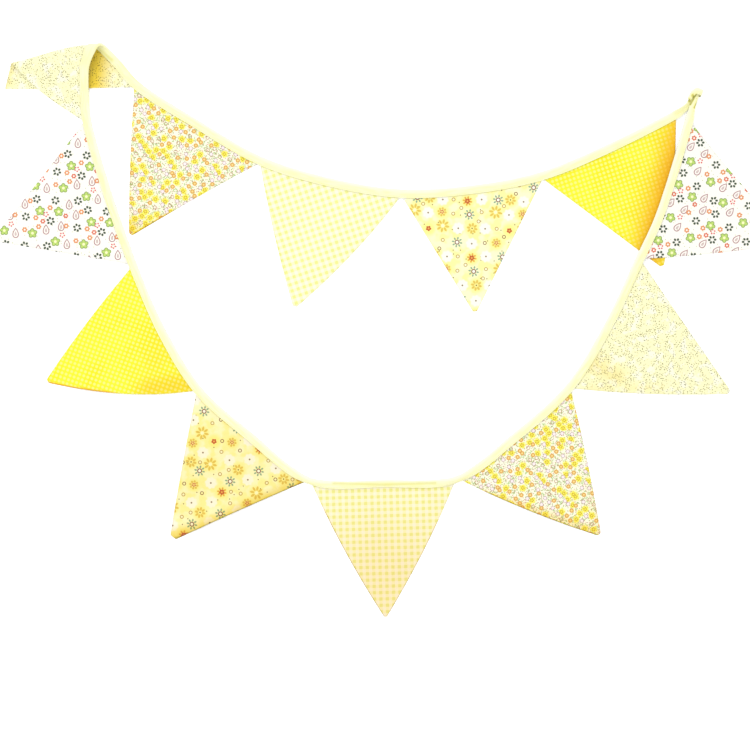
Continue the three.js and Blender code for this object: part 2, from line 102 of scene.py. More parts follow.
rest = cloth["thickness"] / 2 + cloth["seamRise"] / 2
knot = {
    "x": 396.6, "y": 307.2,
    "heading": 65.0,     # degrees, the direction of the end that is wrapped
    "edge": 4.75,        # the wrap's outermost line, measured across that end
    "radius": 2.7,
    "skewReach": 3.0,
    "droop": 1.6,
    "droopLength": 11.0,
}
roll = {
    "x": -383.0, "y": 369.0, "farX": -495.0, "farY": 346.0,
    "bulge": 4.0, "radius": 7.5, "farRadius": 2.4, "evenLength": 30.0,
    "skewReach": 24.0, "settleLength": 62.0,
    "underTop": 1.4,     # what the upper layer rides over
    "underFrom": 296.0, "underTo": 311.0,
}

# The tape's middle line. The first end is given along and across the wrapped end, before it is wrapped.
# A gap is the tape left bare between two flags, and a twist turns the tape about its length, in degrees.
firstEnd = np.array([  # along, across, width, thickness
    (-12.0, 18.6, 4.8, 2.0), (-7.5, 18.8, 5.4, 2.0), (-2.2, 17.8, 6.6, 2.0), (1.8, 15.2, 8.2, 2.0),
    (3.0, 11.4, 8.2, 2.0), (2.4, 6.8, 7.6, 2.0), (0.4, 2.6, 7.2, 2.0), (-4.0, -0.6, 7.0, 2.0),
    (-10.5, -2.6, 7.0, 2.0)])
upperSwag = [  # x, y, gap, lift, width, thickness, twist, up to the last that isn't plain
    (385.4, 292.6, 0, 0, 7.5, 2.0), (378.3, 286.3, 0, 0, 8.5, 2.4), (369.2, 280.1, 8), (283.4, 236.4),
    (194.6, 199.9, 5), (105.3, 182.3), (12.3, 177.1, 6), (-80.6, 191.6), (-170.8, 219.6, 6), (-255.2, 268.0),
    (-333.0, 318.5, 5.4), (-356.6, 345.2)]
lowerSwag = [  # the same
    (-397.0, 345.2), (-399.2, 327.6), (-399.0, 299.0), (-396.5, 271.8, 5), (-371.2, 182.0), (-336.3, 83.2, 8),
    (-299.0, -2.6), (-252.3, -78.0, 7), (-187.6, -136.4), (-107.2, -195.7, 10, 0, 10, 3.6, 52),
    (-10.4, -199.6, 0, 0, 9.4), (84.5, -193.7, 10, 0, 10, 3.6, 52), (161.8, -138.3), (230.8, -74.8, 7),
    (281.8, 6.5), (322.0, 92.0, 8, 1.7), (344.5, 140.4, 0, 1.9), (359.1, 182.0, 0, 2.0),
    (385.8, 271.7, 8, 2.2), (388.6, 283.4, 0, 2.4, 8.5, 2.4), (390.3, 291.2, 0, 2.7, 7.6, 2.0),
    (393.9, 300.6, 0, 2.7, 6.4, 2.0), (397.0, 308.2, 0, 2.7, 4.9, 2.0), (398.9, 312.4, 0, 2.7, 5.1, 2.0)]
twistReach = 21.0  # how far along the tape a twist fades
aheadStep = 1e-4   # the step of the route that gives its direction
anyPhase = 6.28    # a wave begins anywhere in its turn

# Small sums.


def smooth(value):  # 0 to 1 with level ends: 3t² - 2t³
    part = np.clip(value, 0.0, 1.0)
    return part * part * (3.0 - 2.0 * part)


def mix(first, second, part):
    return first + (second - first) * part


def unit(vectors):
    return vectors / np.linalg.norm(vectors, axis=-1, keepdims=True)


def dot(first, second):
    return np.sum(first * second, axis=-1)


def bell(away, reach):  # exp(-(away / reach)²)
    return np.exp(-((away / reach) ** 2))


def awayFrom(spot, start, end):  # how far places are from a line between two points
    start = np.array(start, float)
    run = np.array(end) - start
    offset = spot - start
    part = np.clip(offset @ run / max(run @ run, 1e-6), 0, 1)
    return np.linalg.norm(offset - part[..., None] * run, axis=-1)


# Bends: cloth that turns over along a line.


class Bend:  # half a turn whose outermost line passes edge and runs along heading
    def __init__(self, edge, heading, radii, evenLength=0.0, farLength=1.0, bulge=0.0):
        self.edge = np.array(edge)
        self.lineward = np.array([math.cos(heading), math.sin(heading)])
        self.outward = np.array([math.sin(heading), -math.cos(heading)])
        self.radii = radii
        self.evenLength = evenLength
        self.farLength = farLength
        self.bulge = bulge

    def radiusAt(self, along):  # even at first, then changing in proportion up to the far end
        part = np.clip((along - self.evenLength) / (self.farLength - self.evenLength), 0, 1)
        return mix(*self.radii, part)

    def turnLength(self, along):
        return math.pi * self.radiusAt(along)

    def turnStart(self, along):  # the outer line bulges by p(1 - p)², which is 4/27 at most
        part = np.clip(along / self.farLength, 0, 1)
        return self.bulge * 27 / 4 * part * (1 - part) ** 2 - self.radiusAt(along)

    def toBend(self, spot):
        offset = spot - self.edge
        along = offset @ self.lineward
        return along, offset @ self.outward - self.turnStart(along)

    def fromBend(self, along, past):
        outward = past + self.turnStart(along)
        return self.edge + along[..., None] * self.lineward + outward[..., None] * self.outward

    def lineAt(self, spot, half=5.0):  # the turn's direction there, over a centimetre
        along, past = self.toBend(spot)
        return unit(self.fromBend(along + half, past) - self.fromBend(along - half, past))

    def outside(self, spot):
        along, past = self.toBend(spot)
        return np.maximum(np.maximum(-past, past - self.turnLength(along)), 0)

    def bent(self, spot):  # r sin(a) outward and r(1 - cos(a)) up, where the slope a is length / r
        along, past = self.toBend(spot)
        radius = self.radiusAt(along)
        after = past - self.turnLength(along)
        slope = np.clip(past / radius, 0, math.pi)
        beyond = np.where(past < 0, past, np.where(after > 0, -after, radius * np.sin(slope)))
        return self.fromBend(along, beyond), radius * (1 - np.cos(slope)), slope, past, after

    def bentLayer(self, spot, up):  # the same for places that lie a little above the cloth's middle
        plan, height, slope, past, after = self.bent(spot)
        return plan - (up * np.sin(slope))[..., None] * self.outward, height, up * np.cos(slope), after

    def unrolled(self, plan):
        along, past = self.toBend(plan)
        return self.fromBend(along, self.turnLength(along) - past)


knotHeading = math.radians(knot["heading"])
knotAlong = np.array([math.cos(knotHeading), math.sin(knotHeading)])
knotAcross = np.array([math.sin(knotHeading), -math.cos(knotHeading)])
knotMiddle = np.array([knot["x"], knot["y"]])
wrapBend = Bend(knotMiddle + knotAcross * knot["edge"], knotHeading, (knot["radius"], knot["radius"]))
rollRun = np.array([roll["farX"] - roll["x"], roll["farY"] - roll["y"]])
rollHeading = math.atan2(rollRun[1], rollRun[0])
rollBend = Bend([roll["x"], roll["y"]], rollHeading, (roll["radius"], roll["farRadius"]),
                roll["evenLength"], float(np.linalg.norm(rollRun)), roll["bulge"])

# The tape's route.

plainRow = (0, 0, tape["width"], tape["thickness"], 0)
firstSpots = knotMiddle + firstEnd[:, :1] * knotAlong + firstEnd[:, 1:2] * knotAcross
blank = np.zeros((len(firstEnd), 2))
firstRows = np.column_stack([firstSpots, blank, firstEnd[:, 2:], blank[:, 0]])
upperRows, lowerRows = (np.array([row + plainRow[len(row) - 2:] for row in swag], float)
                        for swag in (upperSwag, lowerSwag))
lowerRows[:, :2] = rollBend.unrolled(lowerRows[:, :2])
route = np.vstack([firstRows, upperRows, lowerRows])
gaps, lifts, widths, thicknesses, twists = route[:, 2:].T
routePoints = np.column_stack([route[:, :2], lifts])
lastRow = len(routePoints) - 1


def alongRoute(t):
    # centripetal Catmull-Rom: a cubic per span, slopes weighted by the roots of the spans' lengths
    before, beyond = 2 * routePoints[0] - routePoints[1], 2 * routePoints[-1] - routePoints[-2]
    ends = np.vstack([before, routePoints, beyond])
    place = np.clip(t, 0, 1) * lastRow
    row = np.clip(np.floor(place).astype(int), 0, lastRow - 1)
    part = (place - row)[:, None]
    p0, p1, p2, p3 = (ends[row + step] for step in range(4))
    spans = ((p0, p1), (p1, p2), (p2, p3))
    s0, s1, s2 = (np.sum((b - a) ** 2, axis=1, keepdims=True) ** 0.25 for a, b in spans)
    startSlope = ((p1 - p0) / s0 - (p2 - p0) / (s0 + s1) + (p2 - p1) / s1) * s1
    endSlope = ((p2 - p1) / s1 - (p3 - p1) / (s1 + s2) + (p3 - p2) / s2) * s1
    square = -3 * p1 + 3 * p2 - 2 * startSlope - endSlope
    cube = 2 * p1 - 2 * p2 + startSlope + endSlope
    return p1 + startSlope * part + square * part ** 2 + cube * part ** 3


spanSteps = 100
stepParts = np.linspace(0, 1, lastRow * spanSteps + 1)
stepLengths = np.linalg.norm(np.diff(alongRoute(stepParts), axis=0), axis=1)
routeLengths = np.concatenate([[0], np.cumsum(stepLengths)])
rowDistances = routeLengths[::spanSteps]
tapeLength = routeLengths[-1]
wrappedUntil = rowDistances[len(firstEnd)]
rollFrom = rowDistances[len(firstEnd) + len(upperSwag) - 2]
gapAt = rowDistances[gaps > 0]
gapHalf = gaps[gaps > 0] / 2
print("tape laid out:", round(tapeLength), "mm")


def sectionDirection(spot, square, wrapped):  # square across the tape, but along a turn's lines near the turn
    direction = []
    for bend, reach in ((wrapBend, knot["skewReach"]), (rollBend, roll["skewReach"])):
        line = bend.lineAt(spot)
        line = line * np.sign(dot(line, square))[:, None]
        near = 1 - smooth(bend.outside(spot) / reach)
        direction.append(unit(mix(square, line, near[:, None])))
    return np.where(wrapped[:, None], *direction)


def tapeAt(distance):  # flat middle, section direction, lift, size and twist at distances along the tape
    distance = np.atleast_1d(np.asarray(distance, float))
    t = np.interp(distance, routeLengths, stepParts)
    point = alongRoute(t)
    later, sooner = np.minimum(t + aheadStep, 1), np.maximum(t - aheadStep, 0)
    ahead = unit((alongRoute(later) - alongRoute(sooner))[:, :2])
    row = np.clip(np.floor(t * lastRow).astype(int), 0, lastRow - 1)
    part = smooth(t * lastRow - row)
    square = np.column_stack([-ahead[:, 1], ahead[:, 0]])
    flagward = sectionDirection(point[:, :2], square, distance < wrappedUntil)
    twist = np.zeros(len(distance))
    for turn in np.flatnonzero(twists):
        twist += math.radians(twists[turn]) * bell(distance - rowDistances[turn], twistReach)
    width, thickness = (mix(sizes[row], sizes[row + 1], part) for sizes in (widths, thicknesses))
    return {"distance": distance, "middle": point[:, :2], "lift": np.maximum(point[:, 2], 0), "twist": twist,
            "flagward": flagward, "width": width / dot(flagward, square), "thickness": thickness}


def settled(height, after, floor, middle, length):  # the rolled-over layer comes down and ends level
    return mix(floor, middle + height, 1 - smooth(after / length))


def overLowerLayer(plan):
    over = smooth((plan[..., 1] - roll["underFrom"]) / (roll["underTo"] - roll["underFrom"]))
    return np.where(plan[..., 0] < 0, over, 0)


def placeOnTape(distance, spot, up, middle):  # from a flat place and a height to the place in the layout
    wrapPlan, height, above, after = wrapBend.bentLayer(spot, up)
    droop = knot["droop"] * (1 - smooth(distance / knot["droopLength"]))
    wrapHeight = middle + height - droop + above
    rollPlan, height, above, after = rollBend.bentLayer(spot, up)
    floor = middle + roll["underTop"] * overLowerLayer(rollPlan)
    rollHeight = settled(height, after, floor, middle, roll["settleLength"]) + above
    wrapped = np.broadcast_to(distance < wrappedUntil, up.shape)
    level = np.broadcast_to((distance >= wrappedUntil) & (distance < rollFrom), up.shape)
    where = np.where(level[..., None], spot, np.where(wrapped[..., None], wrapPlan, rollPlan))
    height = np.where(level, middle + up, np.where(wrapped, wrapHeight, rollHeight))
    return np.concatenate([where, height[..., None]], axis=-1)


def tapePoint(spot, across, up):  # a section's points, turned by the twist, then placed
    distance = spot["distance"][:, None]
    turnedOver = np.where(distance > rollFrom, -1.0, 1.0)
    cosine = np.cos(spot["twist"])[:, None]
    sine = np.sin(spot["twist"])[:, None]
    half = spot["thickness"][:, None] / 2 * cosine + spot["width"][:, None] / 2 * sine
    middle = half + spot["lift"][:, None]
    level = across * cosine + up * sine * turnedOver
    raised = up * cosine - across * sine * turnedOver
    flat = spot["middle"][:, None, :] + level[..., None] * spot["flagward"][:, None, :]
    return placeOnTape(distance, flat, raised, middle)


# Meshes.


def placeIn(name, data):
    piece = bpy.data.objects.new(name, data)
    bpy.context.scene.collection.objects.link(piece)
    return piece


def makePiece(name, points, quads, places, attributes, caps=()):
    # points in millimetres, places are the cloth's own flat, caps are lists of corners that close an end
    data = bpy.data.meshes.new(name)
    data.from_pydata(((points - layoutMiddle) * metre).tolist(), [], quads.tolist() + list(caps))
    volume = 0.0
    for half in ((0, 1, 2), (0, 2, 3)):
        a, b, c = (points[quads[:, k]] for k in half)
        volume += float(np.sum(dot(a, np.cross(b, c))))
    if volume < 0:
        data.flip_normals()
    corner = np.empty(len(data.loops), np.int32)
    data.loops.foreach_get("vertex_index", corner)
    layer = data.uv_layers.new(name="flat")
    layer.data.foreach_set("uv", (places[corner] * metre).astype(np.float32).ravel())
    for key, values in attributes.items():
        attribute = data.attributes.new(key, "FLOAT", "POINT")
        attribute.data.foreach_set("value", values.astype(np.float32).ravel())
    data.shade_smooth()
    data.validate()
    return placeIn(name, data)


def gridQuads(columns, rows):  # the four corners of every cell of a grid of columns by rows
    corner = (np.arange(columns - 1)[:, None] * rows + np.arange(rows - 1)).ravel()
    return np.column_stack([corner, corner + rows, corner + rows + 1, corner + 1])


def ringQuads(rings, corners):  # the walls from each of these rings of corners to the next ring
    ring = np.arange(corners)
    first = (rings[:, None] * corners + ring).ravel()
    second = (rings[:, None] * corners + (ring + 1) % corners).ravel()
    return np.column_stack([first, second, second + corners, first + corners])


def rimOf(columns, rows):  # the indices round a grid's rim, in order
    column, row = np.arange(columns), np.arange(rows)
    return np.concatenate([column[:-1] * rows, (columns - 1) * rows + row[:-1],
                           column[:0:-1] * rows + rows - 1, row[:0:-1]])


def closedSheet(name, grid, thickness, places, attributes):
    # both faces stand half the thickness off the middle grid, joined by a rounded rim a little outside it
    columns, rows = grid.shape[:2]
    normal = unit(np.cross(np.gradient(grid, axis=0), np.gradient(grid, axis=1)))
    half = (thickness / 2)[..., None] * normal
    rim = rimOf(columns, rows)
    inner = np.pad(grid[1:-1, 1:-1], ((1, 1), (1, 1), (0, 0)), mode="edge").reshape(-1, 3)
    middle = grid.reshape(-1, 3)[rim]
    edge = middle + unit(middle - inner[rim]) * thickness.reshape(-1)[rim][:, None] * cloth["rim"]
    count = columns * rows
    quads = gridQuads(columns, rows)
    after = np.roll(rim, -1)
    ring = 2 * count + np.arange(len(rim))
    ringAfter = np.roll(ring, -1)
    everyQuad = np.vstack([
        quads, quads[:, ::-1] + count,
        np.column_stack([rim, ring, ringAfter, after]),
        np.column_stack([ring, rim + count, after + count, ringAfter]),
    ])
    points = np.vstack([(grid + half).reshape(-1, 3), (grid - half).reshape(-1, 3), edge])
    flat = places.reshape(-1, 2)
    values = {key: np.concatenate([v.ravel(), v.ravel(), v.ravel()[rim]]) for key, v in attributes.items()}
    return makePiece(name, points, everyQuad, np.vstack([flat, flat, flat[rim]]), values)


# The flags, in their order along the tape.
# print: where a flag is cut from its printed cotton, as x, y and an angle. tip: the middle of its narrow end.
# bows: how far its first and last sides curve outwards.
# ridges: soft folds, as across from, across to, down from, down to, height, reach.
# shades: bands of painted shade where another layer shades the flag, some wide enough to darken a whole flag,
# as x, y, x, y, reach, amount.
# the sides' painted shadow: a dark line along the first side (0) or the last (1) where the edge lies in
# shade, as side, amount, reach, from part, to part.

flags = [
    {"name": "flag_01_dotted", "print": (283, 236, -27), "tip": (351, 84), "bows": (4, 0),
     "shades": [(387, 289, 329, 88, 23, 1.0), (352, 170, 346, 120, 12, 1.08)]},
    {"name": "flag_02_daisy", "print": (33, 172, 0), "tip": (107.9, 24.7), "bows": (0, 0),
     "ridges": [(30, -5, 25, 110, 2.5, 17)]},
    {"name": "flag_03_gingham", "print": (-80, 190, 18.5), "tip": (-126.1, 31.2), "bows": (6, 3),
     "ridges": [(-35, 0, 30, 105, 2.5, 18)]},
    {"name": "flag_04_small_floral", "print": (-255, 265, 33), "tip": (-339.4, 124.8), "bows": (-1.5, 2),
     "ridges": [(-35, -8, 50, 110, 2.5, 16)],
     "shades": [(-343, 127, -338, 135, 14, 0.6), (-341, 221, -344, 130, 4, 0.3)],
     "darkSides": [(0, 1.5, 2.0, 0.62, 1.2)]},
    {"name": "flag_05_speckled", "print": (-380, 330, 0),
     "shades": [(-384, 369, -390, 300, 20, 1.03), (-492, 345, -500, 318, 7, 0.3)]},
    {"name": "flag_06_white_floral", "print": (-457, 154.7, 0), "tip": (-516.1, 118.3), "tipWidth": 6,
     "bows": (-1, 0), "ridges": [(-30, 5, 30, 115, 2.5, 18)]},
    {"name": "flag_07_dotted", "print": (-300, 0, -65), "tip": (-447.2, -66.3), "bows": (3, 10),
     "ridges": [(58, 12, 30, 135, 4, 18)],
     "shades": [(-315, -75, -260, -73, 16, 0.38), (-318, -60, -296, -20, 24, 0.12)],
     "darkSides": [(1, 1.3, 1.6, 0.5, 1.2)]},
    {"name": "flag_08_daisy", "print": (-250, -183, 134), "tip": (-284.2, -268.8), "tipWidth": 9,
     "bows": (1, -1), "ridges": [(55, 10, 35, 140, 5, 17)],
     "shades": [(-281, -268, -198, -237, 13, 0.85), (-198, -237, -120, -203, 14, 1.0),
                (-240, -190, -200, -190, 130, 0.37)],
     "darkSides": [(1, 1.7, 3.0, -0.2, 1.2)]},
    {"name": "flag_09_gingham", "print": (-10, -200, 1.5), "tip": (-8.5, -372.4), "tipWidth": 3,
     "bows": (4.5, 4.5), "ridges": [(-35, 5, 30, 110, 3, 17), (45, 15, 25, 95, 2.5, 15)],
     "shades": [(-9, -351, 62, -234, 34, 0.36), (42, -208, 62, -221, 10, 0.35),
                (-81, -247, -9, -367, 10, 0.35), (-10, -330, -10, -331, 130, 0.64)],
     "darkSides": [(0, 1.6, 1.1, 0.1, 1.3), (1, 1.4, 1.0, 0.2, 1.3)]},
    {"name": "flag_10_small_floral", "print": (160, -140, 40), "tip": (269.1, -265.2), "bows": (4, 2),
     "ridges": [(-55, -10, 35, 140, 4, 17)],
     "shades": [(114, -211, 270, -263, 6, 0.5), (270, -182, 270, -260, 14, 0.3)],
     "darkSides": [(0, 1.9, 1.6, 0.1, 1.2)]},
    {"name": "flag_11_speckled", "print": (280, 5, 62), "tip": (438.1, -80.6), "bows": (4, 0),
     "ridges": [(-45, -12, 25, 105, 3, 17)],
     "shades": [(252, -38, 292, -60, 14, 0.36), (257, -75, 348, -75, 6, 0.2)]},
    {"name": "flag_12_white_floral", "print": (371.9, 189, -39.5), "tip": (516.1, 115.7), "tipWidth": 6,
     "bows": (3, -2), "ridges": [(20, 5, 75, 135, 2.5, 17)]},
]
sideFade = 0.15  # the part of a side over which its painted shadow line begins and ends
rolledFlag = {
    "columns": 150,
    "outlineSteps": 1200,
    "endCorners": ((128.5, -28.1), (113.0, 4.3)),  # along the roll, and past its first line
    "cornerLength": 5.0,
    "sideBows": (1.0, 0.0, 4.5),
    "sideLean": 0.8,
    "underRest": 1.9,
    "leaveFloor": 15.0,
    "settlePower": 1.5,  # where the roll is tighter, its cloth settles sooner
    "shadeUntil": 4.0,   # its painted shade lies inside the roll, up to here past the first line
    "shadeFade": 6.0,
}


def printPlace(spot, cut):  # the cloth's place in its print: each flag is cut at its own place and angle
    turn = math.radians(cut[2])
    offset = spot - np.array(cut[:2])
    across = offset @ np.array([math.cos(turn), math.sin(turn)])
    return np.stack([across, offset @ np.array([-math.sin(turn), math.cos(turn)])], axis=-1)


def slotPoints(distance):  # a flag's hidden edge in the slot, and the place just outside the slot's mouth
    spot = tapeAt(distance)
    hidden = -spot["width"] / 2 + tape["wall"] + tape["seatDepth"]
    mouth = spot["width"] / 2 + tape["mouth"]
    across = np.column_stack([hidden, mouth])
    return tapePoint(spot, across, np.zeros_like(across))


def ridgeHeight(ridges, across, down):  # each fold is a bell across its line
    spot = np.stack([across, down], axis=-1)
    total = np.zeros_like(across)
    for acrossFrom, acrossTo, downFrom, downTo, height, reach in ridges:
        total += height * bell(awayFrom(spot, (acrossFrom, downFrom), (acrossTo, downTo)), reach)
    return total


def shadeAt(spot, shades):  # the deepest of several soft bands of painted shade, each a bell across its line
    deepest = np.zeros(spot.shape[:-1])
    for fromX, fromY, toX, toY, reach, amount in shades:
        deepest = np.maximum(deepest, amount * bell(awayFrom(spot, (fromX, fromY), (toX, toY)), reach))
    return deepest


def softWaves(places, seed, count=5):  # a sum of slow sines in seeded directions, from 0 to 1
    chance = np.random.default_rng(seed)
    total = np.zeros(places.shape[:-1])
    for _ in range(count):
        turn = chance.uniform(0, math.pi)
        length = chance.uniform(*cloth["waveLengths"])
        along = places @ np.array([math.cos(turn), math.sin(turn)])
        total += np.sin(2 * math.pi * along / length + chance.uniform(0, anyPhase))
    return 0.5 + total / (2 * count)


def gatherHeight(acrossLength, down, seed):  # small gathers at the tape, fading down the flag
    chance = np.random.default_rng(seed + 50)
    total = np.zeros_like(down)
    for length in cloth["gatherLengths"]:
        total += np.sin(2 * math.pi * acrossLength / length + chance.uniform(0, anyPhase))
    part = cloth["gather"] * (total / len(cloth["gatherLengths"])) * np.exp(-down / cloth["gatherFade"])
    return part * smooth(down / cloth["gatherStart"])


def seamThickness(edge, down):  # thicker over the turned edge, with a shallow step where it ends
    border = 1 - smooth((edge - cloth["seamWidth"]) / cloth["seamStep"])
    pressed = mix(cloth["pressed"], cloth["thickness"], smooth(down / cloth["pressedReach"]))
    return pressed + cloth["seamRise"] * border * smooth(down / cloth["seamStart"])


def behindMouth(hidden, shown):  # puts the column of the edge hidden in the slot before the others
    return np.concatenate([np.broadcast_to(hidden, (len(shown), 1) + shown.shape[2:]), shown], axis=1)


def makeFlag(flag, number, start, end):
    # straight lines from the tape to the narrow tip, bowed sideways by 4d(1 - d) and raised by the folds
    steps = np.linspace(0, 1, cloth["columns"] + 1)
    parts = mix(steps, 0.5 - 0.5 * np.cos(math.pi * steps), 0.5)  # closer together at both sides
    rows = np.linspace(0, 1, cloth["rows"]) ** cloth["rowPower"]
    distance = mix(start, end, parts)
    hidden, mouth = np.moveaxis(slotPoints(distance), 1, 0)
    corners = slotPoints(np.array([start, end]))[:, 1, :2]
    base = np.linalg.norm(corners[1] - corners[0])
    chord = (corners[1] - corners[0]) / base
    foot = np.array(flag["tip"]) + (parts - 0.5)[:, None] * flag.get("tipWidth", cloth["tipWidth"]) * chord
    side = 1 - 2 * parts
    bow = -side * np.where(side > 0, *flag["bows"])
    plan = mix(mouth[:, None, :2], foot[:, None, :], rows[:, None])
    plan = plan + (bow[:, None] * 4 * rows * (1 - rows))[..., None] * chord
    length = np.linalg.norm(mouth[:, :2] - foot, axis=1)[:, None]
    down = rows * length
    everyRow = np.concatenate([[0.0], rows])
    width = base * (1 - everyRow) + cloth["tipWidth"]
    edge = np.minimum(parts, 1 - parts)[:, None] * width * cloth["sideLean"]
    edge = np.minimum(edge, (length - everyRow * length) * cloth["endLean"] + 0.1)
    places = printPlace(plan, flag["print"])
    across = (parts - 0.5)[:, None] * base * (1 - rows)
    folds = ridgeHeight(flag.get("ridges", []), across, down)
    waves = cloth["wave"] * softWaves(places, number) * smooth(edge[:, 1:] / cloth["calmReach"])
    drop = cloth["drop"] + cloth["dropPerLift"] * tapeAt(distance)["lift"]
    height = mix(mouth[:, None, 2], rest, smooth(down / drop[:, None]))
    height = height + (folds + waves) * smooth(down / cloth["drop"])
    height = height + gatherHeight(distance[:, None], down, number)
    grid = behindMouth(hidden[:, None], np.concatenate([plan, height[..., None]], axis=-1))
    places = behindMouth(printPlace(hidden[:, None, :2], flag["print"]), places)
    # painted shade: bands where another layer shades the flag
    shade = shadeAt(grid[..., :2], flag.get("shades", []))
    # painted shadow along the sides whose edge lies in shade
    for side, amount, reach, fromPart, toPart in flag.get("darkSides", []):
        away = np.abs(parts[:, None] - side) * width * cloth["sideLean"]
        held = smooth((everyRow - fromPart) / sideFade) * smooth((toPart - everyRow) / sideFade)
        shade = np.maximum(shade, amount * bell(away, reach) * held)
    thickness = seamThickness(edge, behindMouth(cloth["hiddenDown"], down))
    return closedSheet(flag["name"] + "_cloth", grid, thickness, places, {"edge": edge, "shade": shade})


def rollColumn(spot):  # millimetres before the roll, round it and after it, as if its radius were even
    along, past = rollBend.toBend(spot)
    turn = rollBend.turnLength(along)
    plainTurn = math.pi * roll["radius"]
    return np.where(past <= 0, past, np.where(past < turn, past / turn * plainTurn, plainTurn + past - turn))


def placeOnRolledFlag(spot):  # lies flat, goes round the roll and comes down over itself
    plan, height, slope, past, after = rollBend.bent(spot)
    before = mix(plainHalf, rest, smooth(-past / rolledFlag["leaveFloor"]))
    floor = mix(rest, rolledFlag["underRest"], overLowerLayer(plan))
    tighter = rollBend.radiusAt(rollBend.toBend(spot)[0]) / roll["radius"]
    length = roll["settleLength"] * tighter ** rolledFlag["settlePower"]
    level = np.where(past <= 0, before, settled(height, after, floor, plainHalf, length))
    return np.concatenate([plan, level[..., None]], axis=-1)


def rolledOutline(top):  # the rim from the tape's one corner to the other: steps, places, the sides' lengths
    bendCorners = np.array(rolledFlag["endCorners"])
    outline = np.vstack([top[:1], rollBend.fromBend(bendCorners[:, 0], bendCorners[:, 1]), top[-1:]])
    parts = np.linspace(0, 1, rolledFlag["outlineSteps"] + 1)
    side = np.minimum(np.floor(parts * 3).astype(int), 2)
    part = parts * 3 - side
    run = unit(outline[side + 1] - outline[side])
    bow = np.array(rolledFlag["sideBows"])[side] * 4 * part * (1 - part)
    straight = mix(outline[side], outline[side + 1], part[:, None])
    sides = np.linalg.norm(np.diff(outline, axis=0), axis=1)
    return parts, straight + np.column_stack([-run[:, 1], run[:, 0]]) * bow[:, None], sides


def makeRolledFlag(flag, number, start, end):
    # lines parallel to the roll, from the tape to the cut end, each placed through the same turn
    distance = np.linspace(start, end, rolledFlag["columns"] + 1)
    spot = tapeAt(distance)
    top = spot["middle"] + spot["flagward"] * (spot["width"] / 2 + tape["mouth"])[:, None]
    parts, rim, sides = rolledOutline(top)
    crossing = np.interp(rollColumn(top), np.maximum.accumulate(rollColumn(rim)), parts)
    first, last = rolledFlag["cornerLength"] / sides[[0, 2]] / 3
    crossing = mix(first, 1 - last, crossing)
    far = np.column_stack([np.interp(crossing, parts, rim[:, k]) for k in (0, 1)])
    rows = np.linspace(0, 1, cloth["rows"])
    flat = mix(top[:, None], far[:, None], rows[:, None])
    length = np.linalg.norm(far - top, axis=1)[:, None]
    down = rows * length
    slot = slotPoints(distance)
    grid = placeOnRolledFlag(flat)
    grid[..., 2] = mix(slot[:, 1, 2][:, None], grid[..., 2], smooth(down / cloth["drop"]))
    grid = behindMouth(slot[:, :1], grid)
    places = printPlace(flat, flag["print"])
    places = behindMouth(places[:, :1], places)
    down = behindMouth(cloth["hiddenDown"], down)
    edge = np.minimum(distance - start, end - distance)[:, None] * rolledFlag["sideLean"]
    edge = np.minimum(edge, np.maximum(length - down, 0) * rolledFlag["sideLean"])
    thickness = seamThickness(edge, down) - cloth["seamRise"] / 2
    # painted shade, kept to the inside of the roll
    past = np.pad(rollBend.toBend(flat)[1], ((0, 0), (1, 0)), mode="edge")
    inRoll = 1 - smooth((past - rolledFlag["shadeUntil"]) / rolledFlag["shadeFade"])
    shade = shadeAt(grid[..., :2], flag["shades"]) * inRoll
    return closedSheet(flag["name"] + "_cloth", grid, thickness, places, {"edge": edge, "shade": shade})


# The binding tape and its stitching.


def foldedSection(spot):
    # the outline of a strip folded in half: outer faces, half a circle at the fold, noses at both open edges
    edge = spot["width"][:, None] / 2
    face = spot["thickness"][:, None] / 2
    wall = tape["wall"] * face / plainHalf
    slot = face - wall
    foldTurn = np.linspace(-0.5 * math.pi, -1.5 * math.pi, 7)[1:-1]
    noseTurn = np.linspace(-0.5 * math.pi, 0.5 * math.pi, 5)
    foldRadius = np.minimum(face, edge * 0.8)  # less where the tape is narrow
    outerAcross = mix(edge - wall / 2, -edge + foldRadius, np.linspace(0, 1, 7))
    dip = tape["stitchDip"] * bell(edge - outerAcross - tape["stitchInset"], tape["dipReach"])
    outerUp = face - dip * face / plainHalf
    foldAcross = -edge + foldRadius + foldRadius * np.cos(foldTurn)
    foldUp = face * np.sin(foldTurn)
    noseAcross = edge - wall / 2 + wall / 2 * np.cos(noseTurn)
    upperNose = slot + wall / 2 - wall / 2 * np.sin(noseTurn)
    innerAcross = mix(edge - wall, -edge + wall + tape["foldExtra"], np.array([0.35, 0.7, 1.0]))
    innerUp = np.broadcast_to(slot, innerAcross.shape)
    across = np.concatenate([outerAcross, foldAcross, outerAcross[:, ::-1], noseAcross[:, 1:], innerAcross,
                             innerAcross[:, ::-1], noseAcross[:, :-1]], axis=1)
    up = np.concatenate([-outerUp, foldUp, outerUp[:, ::-1], upperNose[:, 1:], innerUp,
                         -innerUp, -upperNose[:, ::-1][:, :-1]], axis=1)
    return across, up


def stripPlaces(distance, across):  # the tape's own flat: along it, and across it from its middle
    return np.stack([np.broadcast_to(distance[:, None], across.shape), across], axis=-1).reshape(-1, 2)


def makeTape():  # the folded section carried along the route, its two ends closed by folded caps
    distance = np.linspace(0, tapeLength, int(tapeLength / tape["stationStep"]))
    spot = tapeAt(distance)
    across, up = foldedSection(spot)
    points = tapePoint(spot, across, up)
    stations, corners = across.shape
    ring = np.arange(corners)
    caps = [ring[::-1].tolist(), (ring + (stations - 1) * corners).tolist()]
    # how far the painted highlight on the fold reaches, from the roll
    fromRoll = np.linalg.norm(points[..., :2] - rollBend.edge, axis=-1)
    # painted shade: the bands darken the tape where it lies in shade
    attributes = {"shade": shadeAt(points[..., :2], tape["shades"]),
                  "pale": smooth((fromRoll - tape["paintedHighlightFrom"]) / tape["paintedHighlightReach"])}
    return makePiece("binding_tape_cloth", points.reshape(-1, 3), ringQuads(np.arange(stations - 1), corners),
                     stripPlaces(distance, across), attributes, caps)


